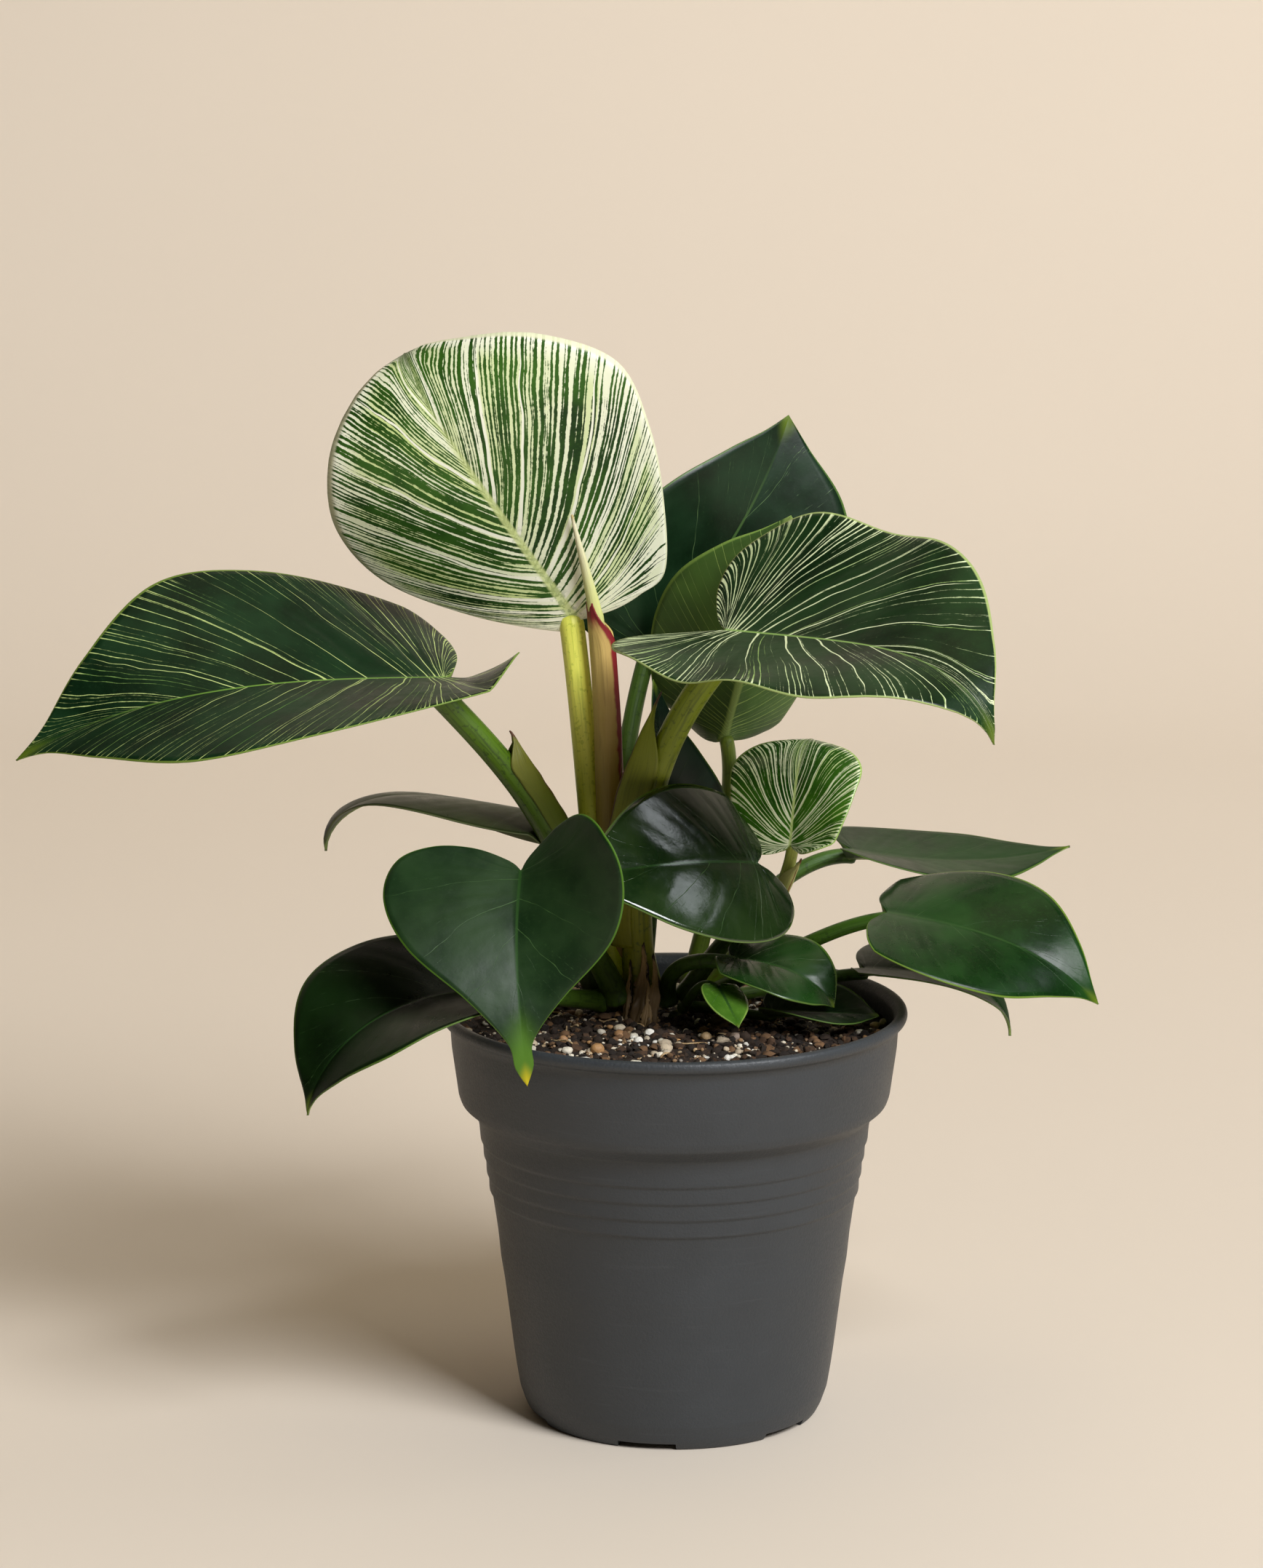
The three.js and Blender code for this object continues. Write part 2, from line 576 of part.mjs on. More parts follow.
function soilGeometry(rooted) {
  const wall = innerWall.slice(0, -1).map(([r, z], i) => [
    r - SOIL.clearance,
    i === 0 ? z + SOIL.clearance : z,
  ]);
  const rim = POT.mouth - SOIL.clearance - 0.4;
  const body = turned([
    [0, POT.floor + SOIL.clearance],
    ...wall,
    ...[rim, ...SOIL.rings, 0].map((r) => [r, SOIL.level]),
  ]);
  const position = body.attributes.position;
  for (let i = 0; i < position.count; i += 1) {
    const [x, y, z] = [position.getX(i), position.getY(i), position.getZ(i)];
    if (z > SOIL.level - 0.01) position.setZ(i, soilHeight(x, y));
  }
  let soil = solidOf(body);
  const random = seeded(GRAINS.seed);
  const grains = [];
  for (let i = 0; i < GRAINS.count; i += 1) {
    const angle = 2 * Math.PI * random();
    const reach = (POT.mouth - 5) * Math.sqrt(random());
    const size = mix([GRAINS.least, GRAINS.most], random());
    const [x, y] = [reach * Math.cos(angle), reach * Math.sin(angle)];
    const grain = new THREE.IcosahedronGeometry(size, 0);
    grain.scale(1, 0.8 + 0.3 * random(), 0.8);
    grain.rotateZ(Math.PI * random());
    grain.translate(x, y, soilHeight(x, y) + 0.1 * size);
    grains.push(solidOf(grain));
  }
  soil = grains.reduce((all, grain) => all.add(grain), soil);
  return geometryOf(seat(soil, rooted));
}

// ---------------------------------------------------------------- the plant in its pot

const plant = new THREE.Group();

function addPart(name, geometry, color, roughness) {
  const mesh = new THREE.Mesh(geometry, new THREE.MeshStandardMaterial({ color, roughness, metalness: 0 }));
  mesh.name = name;
  plant.add(mesh);
}

const grown = (tube) => solidOf(tubeGeometry(tube, GAP));
const grownScale = (scale) => grown({ ...scale, depth: SCALE_DEPTH });
const stemTubes = STEMS.map(stemTube);
const stemRoom = stemTubes.map(grown);

addPart('pot', potGeometry(), POT_GREY, 0.6);
addPart('soil', soilGeometry([...stemRoom, ...SCALES.map(grownScale)]), PEAT_BROWN, 1);
STEMS.forEach((stem, i) => addPart(stem.name, tubeGeometry(stemTubes[i]), STEM_GREEN, 0.6));

for (const leaf of LEAVES) {
  addPart(`blade_${leaf.name}`, bladeGeometry(leaf), leaf.green, 0.35);
}

// Each petiole, sleeve and sheath is cut back from the blades and from what was placed before it.
const placed = [...stemRoom, ...LEAVES.map((leaf) => solidOf(bladeGeometry(leaf, GAP)))];

function addTube(name, tube, color, roughness) {
  addPart(name, geometryOf(seat(solidOf(tubeGeometry(tube)), placed)), color, roughness);
  placed.push(grown(tube));
}

for (const leaf of LEAVES) {
  addTube(`petiole_${leaf.name}`, petioleOf(leaf), PETIOLE_GREEN, 0.45);
}
addTube('rolled_leaf', ROLLED_LEAF, ROLLED_CREAM, 0.5);
addTube('leaf_sleeve', SLEEVE, SLEEVE_TAN, 0.5);
for (const sheath of SHEATHS) {
  addTube(sheath.name, { ...sheath, depth: SHEATH_DEPTH }, SHEATH_GREEN, 0.5);
}
for (const scale of SCALES) {
  addTube(scale.name, { ...scale, depth: SCALE_DEPTH }, DRY_BROWN, 0.9);
}

export default plant;
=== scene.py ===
"""A philodendron birkin in its nursery pot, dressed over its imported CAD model.

Sizes in the tables are millimetres and degrees; everything in Blender is metres, with +Z up.
The front is -Y. A blade's left half is on the left when looking from its stalk to its tip,
at the upper face. Colours are given as screen values, 0 to 255.
"""
import math
import random

import bpy
from mathutils import Matrix, Quaternion, Vector, noise


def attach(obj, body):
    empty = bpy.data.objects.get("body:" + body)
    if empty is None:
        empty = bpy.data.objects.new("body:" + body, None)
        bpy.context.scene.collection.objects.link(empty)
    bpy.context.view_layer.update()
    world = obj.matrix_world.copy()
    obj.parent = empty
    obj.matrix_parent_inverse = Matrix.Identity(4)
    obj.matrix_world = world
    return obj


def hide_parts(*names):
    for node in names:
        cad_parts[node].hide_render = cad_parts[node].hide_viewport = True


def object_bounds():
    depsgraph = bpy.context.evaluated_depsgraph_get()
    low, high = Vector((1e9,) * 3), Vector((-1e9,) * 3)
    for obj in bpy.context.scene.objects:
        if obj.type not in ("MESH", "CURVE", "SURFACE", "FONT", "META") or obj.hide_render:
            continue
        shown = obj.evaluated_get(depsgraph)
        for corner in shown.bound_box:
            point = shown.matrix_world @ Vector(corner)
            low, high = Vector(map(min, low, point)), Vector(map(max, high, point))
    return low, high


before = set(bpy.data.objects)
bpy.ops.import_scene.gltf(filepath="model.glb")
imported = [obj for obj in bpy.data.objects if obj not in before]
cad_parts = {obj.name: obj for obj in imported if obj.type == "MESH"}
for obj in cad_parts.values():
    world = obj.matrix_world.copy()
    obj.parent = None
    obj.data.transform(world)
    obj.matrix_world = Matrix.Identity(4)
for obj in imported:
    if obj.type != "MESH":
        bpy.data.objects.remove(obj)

CAD_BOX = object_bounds()
MM = 0.001
WELD = 2e-6  # metres: points of a net nearer than this are one point


# ---------------------------------------------------------------- shader sockets and finishes

class Wire:
    """What comes out of a node. It adds, multiplies and compares like a number."""

    def __init__(self, tree, socket):
        self.tree = tree
        self.socket = socket

    def _math(self, operation, *terms):
        node = self.tree.nodes.new("ShaderNodeMath")
        node.operation = operation
        for slot, term in zip(node.inputs, terms):
            plug(self.tree, term, slot)
        return Wire(self.tree, node.outputs[0])

    def __add__(self, other):
        return self._math("ADD", self, other)

    def __sub__(self, other):
        return self._math("SUBTRACT", self, other)

    def __mul__(self, other):
        return self._math("MULTIPLY", self, other)

    def __truediv__(self, other):
        return self._math("DIVIDE", self, other)

    def __radd__(self, other):
        return self._math("ADD", other, self)

    def __rsub__(self, other):
        return self._math("SUBTRACT", other, self)

    def __rmul__(self, other):
        return self._math("MULTIPLY", other, self)

    def __rtruediv__(self, other):
        return self._math("DIVIDE", other, self)

    def __abs__(self):
        return self._math("ABSOLUTE", self)

    def __gt__(self, other):
        return self._math("GREATER_THAN", self, other)

    def floor(self):
        return self._math("FLOOR", self)

    def fraction(self):
        return self._math("FRACT", self)

    def highest(self, other):
        return self._math("MAXIMUM", self, other)

    def lowest(self, other):
        return self._math("MINIMUM", self, other)


def plug(tree, term, slot):
    if isinstance(term, Wire):
        tree.links.new(term.socket, slot)
    else:
        slot.default_value = term


class Finish:
    """One material: its nodes are added by node(), and shader() sets the surface's own sockets."""

    def __init__(self, name):
        self.material = bpy.data.materials.new(name)
        self.material.use_nodes = True
        self.tree = self.material.node_tree

    def connect(self, node, sockets):
        slots = {slot.name.replace(" ", ""): slot for slot in node.inputs if slot.enabled}
        for key, term in sockets.items():
            plug(self.tree, term, slots[key])

    def node(self, kind, settings=None, output=0, **sockets):
        """Adds a node: its settings first, then its sockets. Gives one output."""
        node = self.tree.nodes.new(kind)
        for key, value in (settings or {}).items():
            setattr(node, key, value)
        self.connect(node, sockets)
        return Wire(self.tree, node.outputs[output])

    def shader(self, **sockets):
        self.connect(self.tree.nodes["Principled BSDF"], sockets)
        return self.material

    def place(self):
        """Where a point is on the object, in metres."""
        return self.node("ShaderNodeTexCoord", output=3)

    def net_axes(self):
        """How far along its net and across it a point lies, each 0 to 1."""
        uv = self.node("ShaderNodeUVMap", {"uv_map": "UVMap"})
        return [self.node("ShaderNodeSeparateXYZ", output=way, Vector=uv) for way in (0, 1)]

    def attribute(self, name, output=2):
        return self.node("ShaderNodeAttribute", {"attribute_name": name}, output)

    def cloud(self, scale, detail=2.0, roughness=0.5, place=None):
        """Soft noise round 0.5, laid out on the object unless another place is given."""
        place = place or self.place()
        return self.node("ShaderNodeTexNoise", Vector=place, Scale=scale, Detail=detail, Roughness=roughness)

    def step(self, value, low, high):
        """0 below low, 1 above high, and smooth between them."""
        return self.node(
            "ShaderNodeMapRange", {"interpolation_type": "SMOOTHSTEP"},
            Value=value, FromMin=low, FromMax=high, ToMin=0.0, ToMax=1.0)

    def blend(self, factor, first, second):
        """first where factor is 0, second where it is 1; both are colours on screen or come from nodes."""
        first, second = (
            color if isinstance(color, Wire) else (*tone(*color), 1) for color in (first, second))
        return self.node("ShaderNodeMix", {"data_type": "RGBA"}, output=2, Factor=factor, A=first, B=second)

    def vector(self, x, y, z):
        return self.node("ShaderNodeCombineXYZ", X=x, Y=y, Z=z)

    def bump(self, height, distance, strength=1.0):
        return self.node("ShaderNodeBump", Strength=strength, Distance=distance, Height=height)


def tone(red, green, blue):
    """The colour that Blender uses, from its 0 to 255 screen values."""
    return tuple(((v / 255 + 0.055) / 1.055) ** 2.4 if v > 10 else v / 3294.6 for v in (red, green, blue))


# ---------------------------------------------------------------- modelling helpers

def clear_selection():
    if bpy.context.object and bpy.context.object.mode != "OBJECT":
        bpy.ops.object.mode_set(mode="OBJECT")
    bpy.ops.object.select_all(action="DESELECT")


def only(piece):
    clear_selection()
    piece.select_set(True)
    bpy.context.view_layer.objects.active = piece


def joined(pieces, name):
    only(pieces[0])
    for piece in pieces:
        piece.select_set(True)
    bpy.ops.object.join()
    return named(pieces[0], name)


def named(piece, name):
    piece.name = name
    piece.data.name = name
    return piece


def apply_modifiers(piece):
    only(piece)
    for modifier in list(piece.modifiers):
        bpy.ops.object.modifier_apply(modifier=modifier.name)


def thicken(piece, thickness, **settings):
    """Gives a net its wall, in millimetres."""
    wall = piece.modifiers.new("thickness", "SOLIDIFY")
    wall.thickness = thickness * MM
    for key, value in settings.items():
        setattr(wall, key, value)
    apply_modifiers(piece)
    return piece


def weld(piece, distance=WELD):
    """Merges the points that meet, and turns all faces outwards."""
    only(piece)
    bpy.ops.object.mode_set(mode="EDIT")
    bpy.ops.mesh.select_all(action="SELECT")
    bpy.ops.mesh.remove_doubles(threshold=distance)
    bpy.ops.mesh.normals_make_consistent(inside=False)
    bpy.ops.object.mode_set(mode="OBJECT")
    return piece


def net(name, along, across):
    """A flat net to be shaped: u runs 0 to 1 along it and v across it, and both are kept as its UV map."""
    clear_selection()
    bpy.ops.mesh.primitive_grid_add(x_subdivisions=along, y_subdivisions=across, size=2, calc_uvs=True)
    return named(bpy.context.object, name)


def shaped_net(name, along, across, rule):
    """A net with every point moved to rule(u, v), in millimetres."""
    piece = net(name, along, across)
    for vertex in piece.data.vertices:
        vertex.co = rule((vertex.co.x + 1) / 2, (vertex.co.y + 1) / 2) * MM
    return piece


def dressed(piece, slot, *nodes, angle=None):
    """Smooths a piece, hangs it on the root body and hides the CAD nodes that it stands for. slot is not used.
    """
    only(piece)
    if angle is None:
        bpy.ops.object.shade_smooth()
    else:
        bpy.ops.object.shade_smooth_by_angle(angle=math.radians(angle))
    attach(piece, "root")
    if nodes:
        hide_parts(*nodes)
    return piece


def paint(piece, *materials):
    piece.data.materials.clear()
    for material in materials:
        piece.data.materials.append(material)


# ---------------------------------------------------------------- the leaves

MIDRIB_STEPS = 24
VEIN_BUNCHING = 3  # how strongly the side veins crowd towards the stalk
VEIN_BEND = (0.25, 0.55)
LOBE_DEPTH = 0.13
MARGIN_SHARE = 2.5  # the length of a half blade's margin, as a share of the midrib's
MARGIN_THICKNESS = 0.3
TIP_FROM = 0.97  # from here on, the margin that counts is the tip itself

# at: where the stalk joins the blade. half: width of one half. heading and rise: the way the midrib sets
# out; roll: its turn about that. droop: how far it bends over, late where power is high; sway: how far it
# bends aside; twist: about itself. fold: how far a half stands above flat, at the stalk and at the tip.
# curl: how far it bends from midrib to margin. lobe and lift: depth and angle of the lobes. narrow, taper
# and drip draw the outline in. wave, waves and lag: ripples of the margin. rows and columns: points of the
# net. quilt: height of the pillows between veins. petiole: the first three points of the stalk; radii: at
# its foot and at its blade. A pair is for the left and the right half.
PLAIN = dict(
    sway=0, twist=0, lift=(0, 0), taper=0, narrow=0, drip=0, wave=0, waves=2, lag=0, rows=76,
    columns=14, quilt=0.12, thickness=0.7,
)

LEAVES = [
    dict(name="top_striped", at=(-25, 6, 206), length=90, half=(34.5, 40), heading=-151, rise=53,
         roll=-118, droop=109, power=5, fold=((-6, 8), (7, 2)), curl=(-22, -10), lobe=(0.1, 0.2),
         narrow=(2.2, 0.7), taper=(-0.4, -1), drip=(-2.4, -0.4), rows=120, columns=22, quilt=0.12,
         petiole=[(-15, 9, 108), (-20, 10, 142), (-23, 8.5, 174)], radii=(3.6, 3.2)),
    dict(name="left_long", at=(-58, -12, 194), length=112, half=41, heading=-160, rise=3, roll=-24,
         droop=47, power=2, sway=-4, twist=-18, fold=((30, 14), (-4, 17)), curl=(-2, 1),
         lobe=(0.8, 0.5), lift=(22, -6), taper=(-0.2, -0.35), drip=1, rows=120, columns=22,
         quilt=0.25,
         petiole=[(-19, 10, 107), (-28, 4, 143), (-42, -5, 169)], radii=(4, 3.2)),
    dict(name="right_wavy", at=(13, -14, 206), length=96, half=38, heading=-46, rise=4, roll=23,
         droop=104, power=5, sway=-4, twist=-5, fold=((23, 4), (22, 3)), curl=(3, -6),
         lobe=(0.9, 1.3), narrow=-0.1, taper=(-0.3, -0.15), drip=(1.1, 0.9), wave=1.6, waves=2.5,
         lag=0.2, rows=120, columns=22, quilt=0.25,
         petiole=[(-8, 9, 107), (-9, 2, 146), (-1, -6, 178)], radii=(4.2, 3.4)),
    dict(name="back_upright", at=(-7, 42, 192), length=73, half=32, heading=-4, rise=49, roll=112,
         droop=29, power=1.7, sway=13, twist=4, fold=((6, 10), (12, 14)), curl=(1, 2),
         lobe=(0.5, 0.6), taper=(0, -0.8),
         petiole=[(-12, 18, 107), (-14, 26, 140), (-12, 35, 168)], radii=(3, 2.3)),
    dict(name="back_turned", at=(13, 22, 172), length=64, half=29, heading=-41, rise=72, roll=-50,
         droop=-1, power=1.3, sway=3, twist=3, fold=((50, 17), (43, 8)), curl=(13, 1),
         lobe=(0.2, 0.5), lift=(6, 26), taper=-0.2,
         petiole=[(4, 25, 105), (10, 26, 130), (14, 25, 154)], radii=(2.6, 1.9)),
    dict(name="young_striped", at=(30, 4, 148), length=34, half=16, heading=77, rise=71, roll=-8,
         droop=87, power=3.1, fold=((14, 2), (28, -6)), curl=(-1, -10), lobe=(0.6, 0.6),
         lift=(0, 27), taper=-1,
         petiole=[(8, 20, 105), (19, 14, 121), (27, 9, 135)], radii=(2.2, 1.6)),
    dict(name="front_glossy", at=(21, -8, 146), length=56, half=23, heading=-138, rise=10, roll=-50,
         droop=30, power=1.4, fold=((3, 8), (1, 16)), curl=(-13, -9), lobe=(0.9, 0.7),
         lift=(0, -12),
         petiole=[(2, 11, 105), (12, 6, 121), (20, -1, 134)], radii=(2.6, 2)),
    dict(name="front_heart", at=(-38, -42, 151), length=55, half=32, heading=-100, rise=-50, roll=7,
         droop=47, power=1.7, sway=15, twist=-29, fold=((26, -8), (16, 5)), curl=(18, -10),
         lobe=(1.2, 0.7), narrow=-0.3, taper=(1.25, 1.15), drip=-0.25, rows=96, columns=18,
         petiole=[(-14, 5, 106), (-21, -3, 122), (-30, -20, 138)], radii=(3.6, 2.4)),
    dict(name="front_drooping", at=(-48, -32, 118), length=60, half=25, heading=-153, rise=2, roll=-5,
         droop=85, power=1.7, sway=7, twist=-11, fold=((16, 17), (30, 30)), curl=(-11, -19),
         lobe=(1, 1), lift=(13, 9), taper=-0.3, drip=1,
         petiole=[(-18, 6, 106.5), (-27, -5, 110), (-38, -19, 114)], radii=(2.8, 2.2)),
    dict(name="left_low", at=(-33, 18, 154), length=65, half=22, heading=169, rise=6, roll=15,
         droop=98, power=4, sway=10, twist=-4, fold=((-12, 10), (-7, 30)), curl=(-21, -38),
         lobe=(1, 0.8), lift=(-24, 0), taper=-0.4,
         petiole=[(-18, 15, 106), (-21, 17, 129), (-27, 18, 145)], radii=(2.6, 2)),
    dict(name="right_flat", at=(47, 34, 140), length=60, half=21, heading=7, rise=-11, roll=15,
         droop=-20, power=1.4, sway=14, fold=((-7, -2), (27, 8)), curl=(1, -12), lobe=(0.4, 0.6),
         taper=-0.1, drip=0.6,
         petiole=[(8, 24, 105), (19, 28, 124), (34, 32, 136)], radii=(2.6, 2)),
    dict(name="right_round", at=(54, -8, 133), length=60, half=25, heading=-10, rise=-7, roll=24,
         droop=44, power=2, sway=-12, twist=14, fold=((-7, 27), (14, 4)), curl=(-16, -6),
         lobe=(0.4, 0.4), lift=(-14, 15), drip=0.5,
         petiole=[(7, 16, 105), (21, 9, 114), (38, 0, 125)], radii=(2.4, 1.8)),
    dict(name="right_low", at=(50, 22, 111), length=47, half=20, heading=-9, rise=-2, roll=20,
         droop=90, power=2.5, sway=7, twist=-12, fold=((-5, 26), (25, 6)), curl=(-13, 12),
         lobe=(0.5, 0.4), lift=(0, 12), taper=0.2, drip=1,
         petiole=[(9, 20, 104.5), (21, 22, 105), (36, 22.5, 108)], radii=(2, 1.6)),
    dict(name="rim_round", at=(15, -8, 121), length=30, half=13, heading=-18, rise=-5, roll=11,
         droop=65, power=2.2, twist=12, fold=((9, 31), (10, 6)), curl=(-13, -11),
         lobe=(0.7, 0.7), lift=(0, 23), taper=-0.5,
         petiole=[(-1, 9, 104), (-1, 5, 113), (5, -3, 119)], radii=(2.4, 1.9)),
    dict(name="rim_bud", at=(11, -14, 115), length=14, half=6, heading=-58, rise=-35, roll=22,
         droop=-5, power=1.4, sway=-9, fold=((-10, 4), (24, 17)), curl=(-29, 8),
         lobe=(0.5, 0.8), lift=(-23, 0), rows=40, columns=8,
         petiole=[(2, 4, 105), (4, -1, 109), (7, -8, 114)], radii=(1.4, 1.1)),
    dict(name="rim_flat", at=(25, -6, 106), length=28, half=11, heading=-17, rise=4, roll=25,
         droop=7, power=2, sway=3, twist=6, fold=((9, 10), (38, 7)), curl=(-1, 21),
         lobe=(0.8, 0.5), taper=-0.3,
         petiole=[(4, 8, 104.5), (10, 4, 105), (18, -1, 105)], radii=(1.6, 1.3)),
    dict(name="back_hidden", at=(-5, 14, 140), length=50, half=21, heading=-62, rise=78, roll=-163,
         droop=25, power=1.2, sway=-6, twist=6, fold=((31, 14), (32, 15)), curl=(4, -15),
         lobe=(1, 1), lift=(0, -8), taper=0.7,
         petiole=[(-8, 17, 106), (-7, 17, 118), (-6, 16, 129)], radii=(2.4, 1.8)),
]
LEAVES = [{**PLAIN, **leaf} for leaf in LEAVES]


def mix(a, b, t):
    return a + (b - a) * t


def sided(value, side):
    return value[side] if isinstance(value, tuple) else value


def clamp(value, low, high):
    return max(low, min(high, value))


def smooth(value, low, high):
    t = clamp((value - low) / (high - low), 0, 1)
    return t * t * (3 - 2 * t)


def spline(points, t):
    """The curve that the CAD's outline follows: uniform Catmull-Rom with doubled ends."""
    place = t * (len(points) - 1)
    i = min(int(place), len(points) - 2)
    f = place - i
    a, b, c, d = (points[clamp(i + k, 0, len(points) - 1)] for k in (-1, 0, 1, 2))
    m0, m1 = (c - a) * 0.5, (d - b) * 0.5
    return (2 * b - 2 * c + m0 + m1) * f**3 + (3 * c - 3 * b - 2 * m0 - m1) * f**2 + m0 * f + b


def evenly(points, count):
    """count + 1 points along a spline, evenly spaced by its length."""
    fine = [spline(points, i / 400) for i in range(401)]
    travelled = [0.0]
    for first, second in zip(fine, fine[1:]):
        travelled.append(travelled[-1] + (second - first).length)
    spaced, k = [], 0
    for i in range(count + 1):
        goal = travelled[-1] * i / count
        while k < 399 and travelled[k + 1] < goal:
            k += 1
        gap = travelled[k + 1] - travelled[k]
        spaced.append(fine[k].lerp(fine[k + 1], (goal - travelled[k]) / gap if gap else 0))
    return spaced


class Blade:
    """The form of one leaf blade: where any point of the flat heart lies in space."""

    def __init__(self, leaf):
        self.leaf = leaf
        self.stations = self.midrib()
        self.margins = [self.margin(0), self.margin(1)]

    def margin(self, side):
        leaf = self.leaf
        half, lobe, narrow, taper, drip = (
            sided(leaf[key], side) for key in ("half", "lobe", "narrow", "taper", "drip"))
        shares = [
            (0, 0),
            (-0.07 * lobe, 0.12),
            (-0.135 * lobe, 0.36 - 0.12 * narrow),
            (-0.125 * lobe, 0.64 - 0.28 * narrow),
            (-0.01 * lobe, 0.89 - 0.33 * narrow),
            (0.17, 1 - 0.15 * narrow),
            (0.38, 0.97 + 0.03 * narrow - 0.1 * taper),
            (0.6, 0.78 + 0.1 * narrow - 0.3 * taper),
            (0.79, 0.45 - 0.31 * taper - 0.12 * drip),
            (0.91, 0.18 - 0.11 * taper - 0.1 * drip),
            (1, 0),
        ]
        return evenly([Vector((u * leaf["length"], v * half)) for u, v in shares], leaf["rows"])

    def midrib(self):
        leaf = self.leaf
        h, r = math.radians(leaf["heading"]), math.radians(leaf["rise"])
        forward = Vector((math.cos(r) * math.cos(h), math.cos(r) * math.sin(h), math.sin(r)))
        face = Vector((-math.sin(r) * math.cos(h), -math.sin(r) * math.sin(h), math.cos(r)))
        face.rotate(Quaternion(forward, math.radians(leaf["roll"])))
        point = Vector(leaf["at"])
        stations = [(point.copy(), forward.copy(), face.copy())]
        share = 1 / MIDRIB_STEPS
        for i in range(1, MIDRIB_STEPS + 1):
            bend = (i * share) ** leaf["power"] - ((i - 1) * share) ** leaf["power"]
            across = face.cross(forward)
            turn = Quaternion(across, math.radians(leaf["droop"]) * bend)
            following = forward.copy()
            following.rotate(turn)
            face.rotate(turn)
            following.rotate(Quaternion(face, math.radians(leaf["sway"]) * share))
            face.rotate(Quaternion(following, math.radians(leaf["twist"]) * share))
            point = point + (forward + following) * (leaf["length"] * share / 2)
            forward = following
            stations.append((point.copy(), forward.copy(), face.copy()))
        return stations

    def station(self, x):
        u = clamp(x / self.leaf["length"], 0, 1) * MIDRIB_STEPS
        i = min(int(u), MIDRIB_STEPS - 1)
        here, there = self.stations[i], self.stations[i + 1]
        point, forward, face = (a.lerp(b, u - i) for a, b in zip(here, there))
        return point, forward.normalized(), face.normalized()

    def at(self, x, y, side):
        """Where the flat point (x along the midrib, y out from it) lies. side is 0 left, 1 right."""
        leaf = self.leaf
        point, forward, face = self.station(x)
        outward = face.cross(forward) * (1 if side == 0 else -1)
        share = clamp(x / leaf["length"], -0.2, 1)
        out = y / sided(leaf["half"], side)
        behind = clamp(-x / (LOBE_DEPTH * leaf["length"]), 0, 1.5)
        lift = leaf["lift"][side] * behind * clamp(out / 0.3, 0, 1)
        start = math.radians(mix(*leaf["fold"][side], share) + lift)
        turn = math.radians(leaf["curl"][side]) * out
        if abs(turn) < 1e-4:
            along, up = y * math.cos(start), y * math.sin(start)
        else:
            along = y * (math.sin(start + turn) - math.sin(start)) / turn
            up = y * (math.cos(start) - math.cos(start + turn)) / turn
        wave = leaf["wave"] * out**2 * math.sin(2 * math.pi * (leaf["waves"] * share + leaf["lag"] * side))
        return point + forward * min(x, 0) + outward * along + face * (up + wave)

    def flat(self, run, reach, side):
        """The flat point on the side vein that leaves at run, reach of the way to the margin."""
        leaf = self.leaf
        place = run * leaf["rows"]
        i = min(int(place), leaf["rows"] - 1)
        edge = self.margins[side][i].lerp(self.margins[side][i + 1], place - i)
        root = Vector((leaf["length"] * run**VEIN_BUNCHING, 0))
        span = edge - root
        bend = root + Vector((span.x * VEIN_BEND[0], span.y * VEIN_BEND[1]))
        return root * (1 - reach) ** 2 + bend * 2 * reach * (1 - reach) + edge * reach**2


def blade_surface(form, u, v):
    """The upper face of a blade at (u, v) of its net, and the way that it looks."""
    leaf = form.leaf
    side = 0 if v >= 0.5 else 1
    reach = abs(2 * v - 1)
    x, y = form.flat(u, reach, side)
    step = leaf["length"] / 400
    middle = form.at(x, y, side)
    ahead = form.at(x + step, y, side) - middle
    aside = form.at(x, y + step, side) - middle
    normal = (ahead.cross(aside) if side == 0 else aside.cross(ahead)).normalized()
    normal = form.station(x)[2].lerp(normal, smooth(y, 0, 1.5)).normalized()
    return middle, normal, x, y, side, reach


def vein_relief(leaf, u, reach, side, y):
    """How far the upper face stands up: pillows between the side veins, and a groove along the midrib."""
    seed = len(leaf["name"]) * 7 + side * 31
    phase = 11 * u + 0.8 * noise.noise(Vector((u * 6, side * 9, seed)))
    pillow = abs(math.sin(math.pi * phase)) ** 0.6
    fine = noise.noise(Vector((u * 60, reach * 4, seed + 5)))
    fade = smooth(reach, 0.03, 0.25) * (1 - smooth(reach, 0.8, 1))
    ends = smooth(u, 0, 0.12) * (1 - smooth(u, 0.85, 1))
    groove = math.exp(-((y / 1.3) ** 2)) * (1 - u) ** 0.5
    return leaf["quilt"] * (pillow - 0.7 + 0.5 * fine) * fade * ends - 0.35 * groove


def midrib_trough(leaf, u, x, y):
    """How far the fold along the midrib is eased, so that it is a trough and not a sharp crease."""
    share = clamp(x / leaf["length"], 0, 1)
    fold = sum(mix(*leaf["fold"][half], share) for half in (0, 1)) / 2
    return math.sin(math.radians(fold)) * (math.hypot(y, 3) - y) * (1 - u) ** 0.5


def midrib_keel(leaf, u, x, y):
    """How far the midrib stands out under the blade, with the end of the stalk under its foot."""
    swell = leaf["radii"][1] * math.exp(-max(x, 0) / 7)
    width = 1.5 * (1 - 0.75 * u) + 0.7 * swell
    return (1.1 * (1 - u) ** 0.8 + 0.8 * swell) * math.exp(-((y / width) ** 2))


